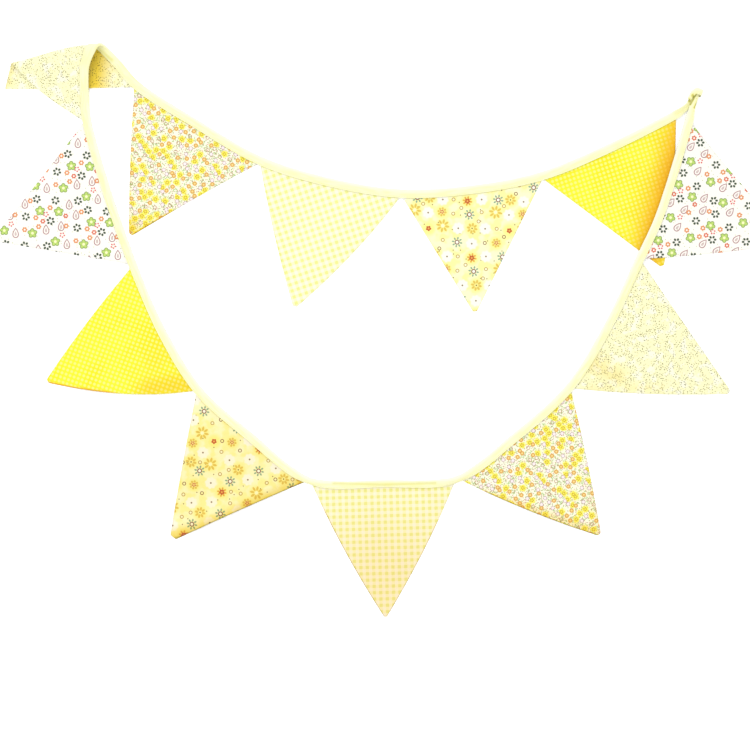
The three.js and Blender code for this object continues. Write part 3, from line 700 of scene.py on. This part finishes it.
def makeStitches():  # a short rod per stitch on both faces: a circle that narrows and sinks at the rod's ends
    steps = np.array([-1.0, -0.8, -0.4, 0.4, 0.8, 1.0])
    turns = np.linspace(0, 2 * math.pi, 7)[:-1]
    firstMiddle, lastMiddle = tape["stitchEnds"][0], tapeLength - tape["stitchEnds"][1]
    middles = np.arange(firstMiddle, lastMiddle, tape["stitchPitch"])
    distance = (middles[:, None] + steps * tape["stitchLength"] / 2).ravel()
    spot = tapeAt(distance)
    rise = np.tile(1 - steps ** 2, len(middles))[:, None] * tape["threadRise"]
    section = np.tile(1 - tape["threadTaper"] * steps ** 4, len(middles))
    radius = tape["threadRadius"] * np.sqrt(section)[:, None]
    across = spot["width"][:, None] / 2 - tape["stitchInset"] + radius * np.cos(turns)
    face = spot["thickness"][:, None] / 2 * (1 - tape["stitchDip"] / plainHalf)
    rings, corners = across.shape
    ring = np.arange(rings).reshape(len(middles), len(steps))
    walls = ringQuads(ring[:, :-1].ravel(), corners)
    start, end = (ring[:, k, None] * corners + np.arange(corners) for k in (0, -1))
    points, quads, caps = [], [], []
    for side, shift in ((1, 0), (-1, rings * corners)):
        up = side * (face - tape["threadSink"] + rise + radius * np.sin(turns))
        points.append(tapePoint(spot, across, up).reshape(-1, 3))
        quads.append(walls[:, ::side] + shift)
        caps += (start[:, ::-side] + shift).tolist() + (end[:, ::side] + shift).tolist()
    places = np.tile(stripPlaces(distance, across), (2, 1))
    return makePiece("binding_tape_stitching", np.vstack(points), np.vstack(quads), places, {}, caps)


# Node sums: a wire is a node's output, and each sum of wires makes one node.


class Wire:
    def __init__(self, socket):
        self.socket = socket
        self.tree = socket.node.id_data

    def __add__(self, other):
        return sumNode("ADD", self, other)

    def __sub__(self, other):
        return sumNode("SUBTRACT", self, other)

    def __rsub__(self, other):
        return sumNode("SUBTRACT", other, self)

    def __mul__(self, other):
        return sumNode("MULTIPLY", self, other)


def fill(node, inputs):  # links a wire to its socket, or sets a plain value there
    for socket, value in inputs.items():
        if isinstance(value, Wire):
            node.id_data.links.new(value.socket, node.inputs[socket])
        else:
            node.inputs[socket].default_value = value


def newNode(kind, inputs, **settings):  # a node in the wires' tree; its inputs are by socket, or in order
    inputs = inputs if isinstance(inputs, dict) else dict(enumerate(inputs))
    tree = next(value.tree for value in inputs.values() if isinstance(value, Wire))
    node = tree.nodes.new("ShaderNode" + kind)
    for key, setting in settings.items():
        setattr(node, key, setting)
    fill(node, inputs)
    return node


def sumNode(operation, *values):
    return Wire(newNode("Math", values, operation=operation).outputs[0])


def vectorNode(operation, *values):
    number = operation in ("DOT_PRODUCT", "LENGTH")
    return Wire(newNode("VectorMath", values, operation=operation).outputs["Value" if number else "Vector"])


def scaled(place, size):
    return Wire(newNode("VectorMath", {0: place, "Scale": size}, operation="SCALE").outputs[0])


def lengthOf(way):
    return vectorNode("LENGTH", way)


def split(place):  # the first two parts of a place or a colour
    node = newNode("SeparateXYZ", [place])
    return Wire(node.outputs[0]), Wire(node.outputs[1])


def join(across, down):
    return Wire(newNode("CombineXYZ", [across, down]).outputs[0])


def ramp(value, start, end, low=0.0, high=1.0):  # a smooth step from low to high
    node = newNode("MapRange", [value, start, end, low, high], interpolation_type="SMOOTHSTEP")
    return Wire(node.outputs[0])


def inside(value, edge, soft):  # 1 where the value is under the edge
    return ramp(value, edge - soft, edge + soft, 1.0, 0.0)


def blend(part, first, second, way="MIX"):
    node = newNode("Mix", {0: part, 6: first, 7: second}, data_type="RGBA", blend_type=way)
    return Wire(node.outputs[2])


def noise(place, scale, detail):
    return Wire(newNode("TexNoise", {"Vector": place, "Scale": scale, "Detail": detail}).outputs["Fac"])


def shared(vectors, numbers, outputs, kind="Float"):
    # makes a node group of a function of wires: called with values, the function then places that group
    def asGroup(build):
        group = bpy.data.node_groups.new(build.__name__, "ShaderNodeTree")
        for way, names, socketKind in (("INPUT", vectors, "Vector"), ("INPUT", numbers, "Float"),
                                       ("OUTPUT", outputs, kind)):
            for name in names:
                group.interface.new_socket(name=name, in_out=way, socket_type="NodeSocket" + socketKind)
        start = group.nodes.new("NodeGroupInput")
        end = group.nodes.new("NodeGroupOutput")
        fill(end, dict(zip(outputs, build(*(Wire(start.outputs[name]) for name in vectors + numbers)))))
        return lambda *values: [Wire(output) for output in newNode("Group", values, node_tree=group).outputs]
    return asGroup


def attribute(tree, name):
    node = tree.nodes.new("ShaderNodeAttribute")
    node.attribute_name = name
    return Wire(node.outputs["Fac"])


# Effects that several cloths share, each a node group.


@shared(["Place"], ["Pitch"], ["Height", "Tone"])
def plainWeave(place, pitch):  # over and under: the product of two sines, with slubs along both threads; its tone is the slubs' uneven colour with a little painted shade where the threads go under
    across, down = split(scaled(place, sumNode("DIVIDE", math.pi, pitch)))
    over = sumNode("SINE", across) * sumNode("SINE", down)
    alongSlub, downSlub = (noise(vectorNode("MULTIPLY", place, stretch), 1.0, 1.0)
                           for stretch in ((260.0, 2600.0, 0.0), (2600.0, 260.0, 5.0)))
    slub = (alongSlub + downSlub) * 0.5
    return over * 0.35 + slub, slub * 0.16 + over * 0.02 + 0.92


@shared(["Place"], [], ["Tone", "Height", "Rough"])
def clothHandling(place):  # soft creases and a slightly uneven tone, from slow noise
    slow = noise(place, 14.0, 3.0)
    crease = noise(vectorNode("MULTIPLY", place, (1.0, 0.45, 1.0)), 60.0, 2.0)
    return slow * 0.06 + 0.97, slow * 0.8 + crease * 0.5, slow * 0.14 + 0.76


@shared(["Cell", "Middle", "Across", "Down", "Best"], [], ["Offset"], "Vector")
def nearerMotif(cell, middle, acrossStep, downStep, best):  # the shorter of best and the nearest repeat's way
    way = vectorNode("WRAP", vectorNode("SUBTRACT", cell, middle), (0.5, 0.5, 0.5), (-0.5, -0.5, -0.5))
    offset = join(vectorNode("DOT_PRODUCT", way, acrossStep), vectorNode("DOT_PRODUCT", way, downStep))
    shorter = sumNode("LESS_THAN", lengthOf(offset), lengthOf(best))
    return (vectorNode("ADD", best, scaled(vectorNode("SUBTRACT", offset, best), shorter)),)


def around(offset, turn):  # the angle round a flower's middle
    across, down = split(offset)
    return sumNode("ARCTAN2", down, across) + turn


@shared(["Offset"], ["Petals", "Radius", "Depth", "Turn", "Soft"], ["Mask"])
def petalShape(offset, petals, radius, depth, turn, soft):
    # a flower in one outline, whose rim stands at radius × (1 - depth × (1 - cos(petals × angle)) / 2)
    lobe = sumNode("COSINE", around(offset, turn) * petals)
    rim = radius * (1.0 - depth * (0.5 - lobe * 0.5))
    return (ramp(lengthOf(offset) - rim, soft, soft * -1.0),)


@shared(["Offset"], ["Petals", "Middle", "Length", "Width", "Turn", "Soft"], ["Mask"])
def ovalPetals(offset, petals, middle, length, width, turn, soft):
    # the angle is folded to the nearest petal's axis, and each petal is an ellipse round its own middle
    half = sumNode("DIVIDE", math.pi, petals)
    folded = sumNode("WRAP", around(offset, turn), half, half * -1.0)
    away = lengthOf(offset)
    along = sumNode("DIVIDE", away * sumNode("COSINE", folded) - middle, length)
    side = sumNode("DIVIDE", away * sumNode("SINE", folded), width)
    return (ramp(sumNode("SQRT", along * along + side * side), soft + 1.0, 1.0 - soft),)


@shared(["Offset"], ["Length", "Width", "Soft"], ["Mask"])
def dropShape(offset, length, width, soft):  # half its width is width × 1.3 √t (1 - t), from the round end
    across, down = split(offset)
    part = sumNode("DIVIDE", down, length) + 0.5
    part = sumNode("MINIMUM", sumNode("MAXIMUM", part, 0.0), 1.0)
    half = sumNode("SQRT", part) * (1.0 - part) * width * 1.3
    mask = ramp(sumNode("ABSOLUTE", across) - half, soft, soft * -1.0)
    return (mask * sumNode("GREATER_THAN", half, 0.01),)


cotton = {
    "depth": 0.67,       # the dyed cloth keeps this much of its look in full light
    "sheen": 0.12, "sheenRough": 0.6, "gloss": 0.25,
    "bump": 0.5, "bumpHeight": 0.0004,
    "weave": 0.25,       # the weave's share of the unevenness
    "weavePitch": 0.00042,
    "seamFrom": 6.2, "seamTo": 8.2, "seamStep": 0.7,
    "edgeWidth": 1.1, "edgeSoft": 0.9, "edgeDark": 0.07,
    "paintedShadeTint": (0.92, 0.69, 0.08),   # what painted shade leaves of the colour
    "deepPaintedShadeTint": (0.36, 0.42, 0.5),  # and what deeper painted shade leaves of that
}


def dye(red, green, blue):  # a colour as it looks in full light, to the cloth's own
    seen = np.array([red, green, blue]) / 255
    linear = np.where(seen <= 0.04045, seen / 12.92, ((seen + 0.055) / 1.055) ** 2.4)
    return (*(linear * cotton["depth"]).tolist(), 1.0)


def makeCotton(name, colourOf, paintedShadeTint=cotton["paintedShadeTint"], deepPaintedShadeTint=cotton["deepPaintedShadeTint"],
               weavePitch=cotton["weavePitch"], seam=True):
    # colourOf gives the dyed colour at a place in millimetres
    material = bpy.data.materials.new(name)
    material.use_nodes = True
    tree = material.node_tree
    tree.nodes.clear()
    flat = tree.nodes.new("ShaderNodeUVMap")
    flat.uv_map = "flat"
    place = Wire(flat.outputs[0])
    weave, weaveToneAndShade = plainWeave(place, weavePitch)
    tone, crease, rough = clothHandling(place)
    colour = colourOf(scaled(place, 1000.0))
    # the cloth's uneven tone and slubs, with the weave's little painted shade and a slightly darker edge
    light = weaveToneAndShade * tone
    height = weave * cotton["weave"] + crease
    if seam:
        edge = attribute(tree, "edge")
        height = height - ramp(edge, cotton["seamFrom"], cotton["seamTo"]) * cotton["seamStep"]
        light = light * (1.0 - inside(edge, cotton["edgeWidth"], cotton["edgeSoft"]) * cotton["edgeDark"])
    shade = attribute(tree, "shade")
    # painted shade: up to 1 the shade attribute brings in the painted shade tint, from 1 to 2 the deeper one
    for step, tint in enumerate((paintedShadeTint, deepPaintedShadeTint)):
        colour = blend(shade - step, colour, blend(1.0, colour, (*tint, 1.0), "MULTIPLY"))
    grey = Wire(newNode("CombineColor", [light, light, light]).outputs[0])
    colour = blend(1.0, colour, grey, "MULTIPLY")
    bump = newNode("Bump", {"Strength": cotton["bump"], "Distance": cotton["bumpHeight"], "Height": height})
    shader = newNode("BsdfPrincipled", {
        "Base Color": colour, "Roughness": rough, "Normal": Wire(bump.outputs[0]),
        "Sheen Weight": cotton["sheen"], "Sheen Roughness": cotton["sheenRough"],
        "Specular IOR Level": cotton["gloss"]})
    output = tree.nodes.new("ShaderNodeOutputMaterial")
    tree.links.new(shader.outputs[0], output.inputs[0])
    return material


# The dyed colours and prints. Sizes are in millimetres of cloth. A charted print has layers from the lowest
# up, as kind of motif, shape, sizes, dye and, for some, what changes the mask. The shapes' sizes are:
# ovals: petals, their middle, length, width, turn, soft. petals: petals, radius, depth, turn, soft.
# disc: radius, soft. ring: radius, width, soft. drop: its middle, length, width, soft.


def ovals(way, *sizes):
    return ovalPetals(way, *sizes)[0]


def petals(way, *sizes):
    return petalShape(way, *sizes)[0]


def drop(way, middle, *sizes):
    return dropShape(vectorNode("ADD", way, (0.0, middle, 0.0)), *sizes)[0]


def disc(way, radius, soft):
    return inside(lengthOf(way), radius, soft)


def ring(way, radius, width, soft):
    return inside(sumNode("ABSOLUTE", lengthOf(way) - radius), width / 2, soft)


def chartedWays(place, chart):  # for each kind of motif, the way from its nearest spot or that spot's repeats
    (ax, ay), (bx, by) = chart["across"], chart["down"]
    size = ax * by - ay * bx
    rows = ((by / size, -bx / size, 0.0), (-ay / size, ax / size, 0.0))
    cell = join(*(vectorNode("DOT_PRODUCT", place, row) for row in rows))  # the place in steps of the repeat
    ways = {}
    for kind, spots in chart["spots"].items():
        ways[kind] = (500.0, 500.0, 0.0)  # further than any repeat
        for x, y in spots:
            middle = ((x * by - y * bx) / size, (-x * ay + y * ax) / size, 0.0)
            ways[kind], = nearerMotif(cell, middle, (ax, bx, 0.0), (ay, by, 0.0), ways[kind])
    return ways


def cellFlowers(place, spacing, randomness):  # the way from an irregular cell's middle, and its two chances
    cells = {"Vector": place, "Scale": 1.0 / spacing, "Randomness": randomness}
    node = newNode("TexVoronoi", cells, voronoi_dimensions="2D")
    way = vectorNode("SUBTRACT", place, Wire(node.outputs["Position"]))
    return (way, *split(Wire(node.outputs["Color"])))


def grains(place, spacing, radius, share, soft=0.3, shift=(0.0, 0.0, 0.0), randomness=1.0):
    # a dot in some of the irregular cells
    way, chance, _ = cellFlowers(vectorNode("ADD", place, shift), spacing, randomness)
    return disc(way, radius, soft) * sumNode("LESS_THAN", chance, share)


def between(value, low, high):
    return sumNode("GREATER_THAN", value, low) * sumNode("LESS_THAN", value, high)


class Printing:  # a cotton's colour so far, and its dyes
    def __init__(self, dyes):
        self.dyes = {key: dye(*colour) for key, colour in dyes.items()}
        self.colour = self.dyes["ground"]

    def lay(self, mask, key):
        self.colour = blend(mask, self.colour, self.dyes[key])

    def layCharted(self, way, layers):
        for kind, shape, sizes, key, *changes in layers:
            mask = shape(way[kind], *sizes)
            for change in changes:
                mask = change(way[kind], mask)
            self.lay(mask, key)


def hollow(start, end):  # keeps the dye off the middle
    return lambda way, mask: mask * ramp(lengthOf(way), start, end)


def filled(radius, soft):  # fills the middle with it
    return lambda way, mask: sumNode("MAXIMUM", mask, disc(way, radius, soft))


def thin(share):
    return lambda way, mask: mask * share


dottedPrint = {
    "across": (7.8, 0.0), "down": (3.9, 4.0),
    "spots": {"dot": [(0, 0)]},
    "layers": [("dot", disc, (1.75, 0.9), "dot")],
    "dyes": {"ground": (249, 244, 40), "deep": (246, 236, 16), "dot": (252, 251, 132)},
    # the tint of its painted shade
    "paintedShadeTint": (0.95, 0.5, 0.02),
}


def dottedColour(place):
    printing = Printing(dottedPrint["dyes"])
    printing.lay(ramp(noise(place, 0.02, 2.0), 0.4, 0.65), "deep")
    printing.layCharted(chartedWays(place, dottedPrint), dottedPrint["layers"])
    return printing.colour


ginghamPrint = {
    "pitch": 8.3, "soft": 0.35,
    "dyes": {"ground": (255, 252, 225), "stripe": (254, 251, 198), "crossing": (240, 240, 146)},
    # the tint of its painted shade
    "paintedShadeTint": (0.9, 0.7, 0.5),
}


def ginghamColour(place):  # stripes both ways from cosines: one stripe is pale, a crossing is strong
    printing = Printing(ginghamPrint["dyes"])
    turn = 2 * math.pi / ginghamPrint["pitch"]
    soft = ginghamPrint["soft"]
    across, down = (ramp(sumNode("COSINE", way * turn), -soft, soft) for way in split(place))
    printing.lay(sumNode("MAXIMUM", across, down), "stripe")
    printing.lay(across * down, "crossing")
    return printing.colour


speckledDyes = {
    "ground": (254, 251, 200), "cloud": (255, 254, 226), "dark": (84, 80, 42), "brown": (206, 190, 126),
}


def speckledColour(place):  # fine specks in loose chains: the dark ones are kept where a slow noise is high
    printing = Printing(speckledDyes)
    printing.lay(ramp(noise(place, 0.085, 2.0), 0.5, 0.62), "cloud")
    printing.lay(grains(place, 4.2, 0.5, 0.6, shift=(31.0, 17.0, 0.0)), "brown")
    chain = ramp(noise(place, 0.11, 1.0), 0.44, 0.5)
    printing.lay(grains(place, 2.7, 0.54, 0.8, soft=0.2, randomness=0.95) * chain, "dark")
    return printing.colour


smallFloralPrint = {
    "flowers": {"spacing": 8.9, "randomness": 0.75},
    "kinds": {"yellow": (-1.0, 0.36), "orange": (0.36, 0.62), "rust": (0.62, 0.72), "pale": (0.72, 2.0)},
    "anyTurn": 6.3,  # a chance, which is 0 to 1, makes any angle
    "strokes": {"spacing": 5.2, "share": 0.55, "shifts": ((7.0, 3.0, 0.0), (19.0, 57.0, 0.0))},
    "grains": {"grain": (47.0, 9.0, 0.0), "rose": (5.0, 83.0, 0.0), "leaf": (71.0, 29.0, 0.0)},
    "dyes": {
        "ground": (255, 252, 226), "glow": (255, 250, 172), "yellow": (251, 244, 84),
        "stamen": (200, 156, 44), "orange": (216, 150, 70), "middle": (250, 220, 136),
        "rust": (176, 118, 84), "pale": (252, 238, 238), "mauve": (168, 130, 136),
        "leaf": (178, 208, 138), "grain": (142, 112, 72), "rose": (204, 132, 112),
    },
}


def smallFloralColour(place):  # one flower per irregular cell, its kind by chance, over leaves and grains
    chart = smallFloralPrint
    printing = Printing(chart["dyes"])
    strokes = chart["strokes"]
    for shift in strokes["shifts"]:
        way, turn, chance = cellFlowers(vectorNode("ADD", place, shift), strokes["spacing"], 1.0)
        stroke = petals(way, 2.0, 1.6, 0.8, turn * chart["anyTurn"], 0.35)
        printing.lay(stroke * sumNode("LESS_THAN", chance, strokes["share"]), "leaf")
    way, chance, turn = cellFlowers(place, **chart["flowers"])
    turn = turn * chart["anyTurn"]
    yellow, orange, rust, pale = (between(chance, *part) for part in chart["kinds"].values())
    printing.lay(ramp(lengthOf(way), 8.0, 3.6) * yellow, "glow")
    for key, shift in chart["grains"].items():
        printing.lay(grains(place, 3.4, 0.56, 0.55, shift=shift), key)
    stamens = ovals(way, 5.0, 1.8, 0.8, 0.8, turn + 0.6, 0.4)
    tips = ovals(way, 5.0, 4.2, 0.6, 0.8, turn, 0.4) * 0.5
    printing.lay(disc(way, 2.2, 0.4) * pale, "pale")
    printing.lay(ovals(way, 7.0, 2.4, 0.62, 0.62, turn, 0.4) * pale, "mauve")
    printing.lay(disc(way, 3.0, 0.5) * orange, "middle")
    printing.lay(ring(way, 2.0, 1.1, 0.5) * orange, "orange")
    printing.lay(ring(way, 2.1, 0.7, 0.4) * rust, "rust")
    printing.lay(petals(way, 5.0, 4.5, 0.22, turn, 0.9) * yellow, "yellow")
    printing.lay(sumNode("MAXIMUM", stamens, tips) * yellow, "stamen")
    return printing.colour


whiteFloralPrint = {
    "across": (66.3, -14.3), "down": (-40.3, -58.5),
    "spots": {
        "drop": [(7.5, -24), (27, -19.5), (37.5, 8.5), (-20, 9.5), (8.5, 30)],
        "dark": [(13.5, -13), (20, 13.5), (49, 13), (-4.5, 15.5), (-18.5, -7.5)],
        "pink": [(7.5, -4.5), (2.5, 41.5)],
        "orange": [(13, 4), (-2, -20.5), (-20, -24.5), (33.5, -19.5), (-13, 13), (-5.5, -9)],
        "red": [(3.5, -13.5), (33, -6.5)],
        "green": [(0, 0), (-10, -29), (24, -1), (-6.5, 33)],
    },
    "layers": [
        ("dark", ovals, (6.0, 3.8, 1.8, 1.45, 0.3, 0.25), "darkGreen"),
        ("pink", ovals, (5.0, 2.7, 1.1, 1.1, 0.2, 0.3), "pink"),
        ("orange", ovals, (6.0, 2.3, 1.3, 1.25, 0.0, 0.25), "orange", hollow(0.8, 1.4)),
        ("red", ovals, (6.0, 2.185, 1.235, 1.1875, 0.0, 0.25), "red", hollow(0.8, 1.4)),
        ("green", ovals, (5.0, 3.6, 2.9, 2.7, 0.9, 0.12), "rimGreen"),
        ("green", ovals, (5.0, 3.5, 2.2, 1.9, 0.9, 0.2), "leafGreen", filled(2.9, 0.4)),
        ("green", disc, (1.7, 0.5), "cream"),
    ],
    "dyes": {
        "ground": (255, 252, 242), "leafGreen": (190, 218, 112), "rimGreen": (116, 146, 70),
        "cream": (255, 253, 200), "darkGreen": (62, 80, 60), "orange": (230, 148, 92), "red": (222, 108, 78),
        "pink": (224, 100, 100), "mauve": (180, 138, 142), "olive": (160, 172, 84),
    },
}


def whiteFloralColour(place):  # a drop is an outline with a paler core
    chart = whiteFloralPrint
    printing = Printing(chart["dyes"])
    way = chartedWays(place, chart)
    printing.lay(grains(place, 5.2, 0.5, 0.34), "olive")
    outer, inner, core = (drop(way["drop"], *sizes)
                          for sizes in ((0.0, 13.5, 8.6, 0.3), (0.3, 10.4, 6.0, 0.3), (0.9, 6.2, 3.0, 0.35)))
    printing.lay(sumNode("MAXIMUM", outer - inner, core * 0.6), "mauve")
    printing.layCharted(way, chart["layers"])
    return printing.colour


daisyPrint = {
    "across": (105.0, -3.0), "down": (5.5, -74.0),
    "spots": {
        "white": [(14, -19.5), (53, -40), (88, -40.5), (70.5, -60), (83.5, -2.5), (33, -2.5)],
        "plain": [(-3.5, -16), (33, -36.5)],
        "yellow": [(16, 0), (71, -40)],
        "centred": [(32, -18.5), (-2.5, -56)],
        "orange": [(65, -4.5)],
        "red": [(14.5, -40)],
        "teal": [(0, 0), (67.5, -22), (51.5, -58)],
        "ring": [(7.5, -8), (57, -13.5), (79.5, -31), (46.5, -21), (83.5, -19), (-2, -37.5), (33, -55),
                 (47, -2.5)],
        "brownRing": [(87.5, -59), (7.5, -48), (28.5, -66)],
    },
    "glowing": ("yellow", "plain", "centred", "orange", "red"),  # flowers on a yellow patch
    "layers": [
        ("white", petals, (8.0, 7.7, 0.14, 0.2, 1.3), "white"),
        ("white", disc, (1.1, 0.5), "dot"),
        ("plain", ovals, (8.0, 5.7, 3.0, 1.45, 0.2, 0.25), "petal"),
        ("plain", disc, (2.2, 0.4), "ground"),
        ("yellow", ovals, (8.0, 4.8, 2.4, 1.45, 0.2, 0.25), "petal"),
        ("centred", ovals, (8.0, 4.5, 1.6, 1.45, 0.2, 0.25), "petal"),
        ("yellow", disc, (0.9, 0.3), "brown"),
        ("centred", petals, (5.0, 3.1, 0.4, 0.2, 0.3), "pinkish", hollow(0.7, 1.2)),
        ("orange", ovals, (8.0, 4.5, 1.9, 1.2, 0.2, 0.3), "orange"),
        ("orange", petals, (5.0, 3.7, 0.26, 0.2, 0.4), "red"),
        ("orange", disc, (1.2, 0.4), "heart"),
        ("red", petals, (5.0, 3.7, 0.26, 0.2, 0.4), "red"),
        ("red", disc, (1.2, 0.4), "heart"),
        ("teal", ovals, (8.0, 5.2, 1.8, 1.1, 0.2, 0.3), "teal"),
        ("teal", disc, (2.0, 0.3), "white"),
        ("teal", ring, (2.5, 1.2, 0.3), "brown"),
        ("ring", disc, (1.9, 0.4), "white", thin(0.4)),
        ("ring", ring, (2.0, 1.0, 0.3), "ring"),
        ("brownRing", ring, (2.0, 0.9, 0.3), "brown"),
    ],
    "dyes": {
        "ground": (255, 253, 204), "blob": (254, 246, 146), "white": (255, 253, 238), "petal": (230, 198, 88),
        "teal": (146, 176, 146), "brown": (126, 66, 50), "red": (200, 92, 44), "orange": (232, 176, 66),
        "ring": (192, 156, 80), "dot": (136, 110, 66), "pinkish": (212, 126, 80), "heart": (240, 178, 84),
    },
    # the tint of its painted shade
    "paintedShadeTint": (0.86, 0.66, 0.2),
}


def daisyColour(place):
    chart = daisyPrint
    printing = Printing(chart["dyes"])
    way = chartedWays(place, chart)
    blob = ramp(noise(place, 0.075, 1.0), 0.42, 0.6) * 0.7
    for kind in chart["glowing"]:
        blob = sumNode("MAXIMUM", blob, ramp(lengthOf(way[kind]), 13.5, 5.0))
    printing.lay(blob, "blob")
    printing.lay(grains(place, 9.0, 0.75, 0.22), "dot")
    printing.layCharted(way, chart["layers"])
    return printing.colour


# fold: the colour of the painted highlight along the tape's fold
tapeDyes = {"ground": (254, 251, 190), "light": (254, 253, 206), "fold": (255, 254, 240)}
threadDyes = {"ground": (250, 246, 190), "ply": (240, 228, 160)}


def tapeColour(place):  # a painted highlight pales it towards its fold where the piece says so
    printing = Printing(tapeDyes)
    slow = noise(vectorNode("MULTIPLY", place, (0.05, 0.3, 0.0)), 1.0, 1.0)
    printing.lay(ramp(slow, 0.35, 0.65), "light")
    printing.lay(ramp(split(place)[1], -5.6, 0.4, 0.7, 0.0) * attribute(place.tree, "pale"), "fold")
    return printing.colour


def threadColour(place):
    printing = Printing(threadDyes)
    twist = sumNode("SINE", vectorNode("DOT_PRODUCT", place, (9.0, 14.0, 0.0)))
    printing.lay(twist * 0.5 + 0.5, "ply")
    return printing.colour


cottons = {
    "dotted_cotton": makeCotton("dottedCotton", dottedColour, dottedPrint["paintedShadeTint"]),
    "daisy_cotton": makeCotton("daisyCotton", daisyColour, daisyPrint["paintedShadeTint"]),
    "gingham_cotton": makeCotton("ginghamCotton", ginghamColour, ginghamPrint["paintedShadeTint"]),
    "small_floral_cotton": makeCotton("smallFloralCotton", smallFloralColour),
    "speckled_cotton": makeCotton("speckledCotton", speckledColour),
    "white_floral_cotton": makeCotton("whiteFloralCotton", whiteFloralColour),
}
# the tape's painted shade tints, first and deeper
tapeCotton = makeCotton("tapeCotton", tapeColour, (0.76, 0.73, 0.26), (0.3, 0.32, 0.3), 0.0005, seam=False)
threadCotton = makeCotton("stitchThread", threadColour, weavePitch=0.0003, seam=False)
print("cottons dyed and printed")

# The pieces, each in its cotton, riding on the one body.

bindingTape = makeTape()
stitches = makeStitches()
for piece, material in ((bindingTape, tapeCotton), (stitches, threadCotton)):
    piece.data.materials.append(material)
    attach(piece, "root")
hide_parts("binding_tape")
print("tape and stitching made")

for number, flag in enumerate(flags):
    start = gapAt[number] + gapHalf[number]
    end = gapAt[number + 1] - gapHalf[number + 1]
    make = makeFlag if "tip" in flag else makeRolledFlag
    piece = make(flag, number, start, end)
    slotName = flag["name"][8:] + "_cotton"
    piece.data.materials.append(cottons[slotName])
    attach(piece, "root")
    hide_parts(flag["name"])
print("flags made:", len(flags))

# The floor, the light and the camera.

studio = {"dome": 1.48, "key": 25.0, "keyPlace": (-1.6, 1.5, 2.6), "keySize": 2.2,
          "floor": 0.95, "floorHalf": 3.0, "floorDrop": 0.0004}


def makeFloor():
    data = bpy.data.meshes.new("studio_floor")
    half = studio["floorHalf"]
    corners = ((-half, -half), (half, -half), (half, half), (-half, half))
    data.from_pydata([(x, y, -studio["floorDrop"]) for x, y in corners], [], [(0, 1, 2, 3)])
    paper = bpy.data.materials.new("palePaper")
    paper.use_nodes = True
    shader = paper.node_tree.nodes["Principled BSDF"]
    shader.inputs["Base Color"].default_value = (studio["floor"],) * 3 + (1.0,)
    shader.inputs["Roughness"].default_value = 0.95
    shader.inputs["Specular IOR Level"].default_value = 0.1
    data.materials.append(paper)
    return placeIn("studio_floor", data)


makeFloor()
world = bpy.data.worlds.new("softRoom")
bpy.context.scene.world = world
world.use_nodes = True
world.node_tree.nodes["Background"].inputs["Color"].default_value = (1.0, 1.0, 1.0, 1.0)
world.node_tree.nodes["Background"].inputs["Strength"].default_value = studio["dome"]
keyData = bpy.data.lights.new("softKey", "AREA")
keyData.shape = "SQUARE"
keyData.size = studio["keySize"]
keyData.energy = studio["key"]
softKey = placeIn("softKey", keyData)
softKey.location = studio["keyPlace"]
aim = -np.array(studio["keyPlace"])
softKey.rotation_euler = (math.acos(aim[2] / np.linalg.norm(aim)) + math.pi, 0, math.atan2(aim[0], -aim[1]))

camera = {"place": (-22.1, -58.5), "height": 3.2, "framed": 0.975, "sensor": 36.0}
cameraData = bpy.data.cameras.new("overheadCamera")
cameraData.sensor_width = camera["sensor"]
cameraData.lens = camera["sensor"] * camera["height"] / camera["framed"]
cameraData.clip_end = 50.0
overhead = placeIn("overheadCamera", cameraData)
overhead.location = (*((np.array(camera["place"]) - layoutMiddle[:2]) * metre).tolist(), camera["height"])
bpy.context.scene.camera = overhead
bpy.context.scene.view_settings.view_transform = "Standard"
print("floor, light and camera set")
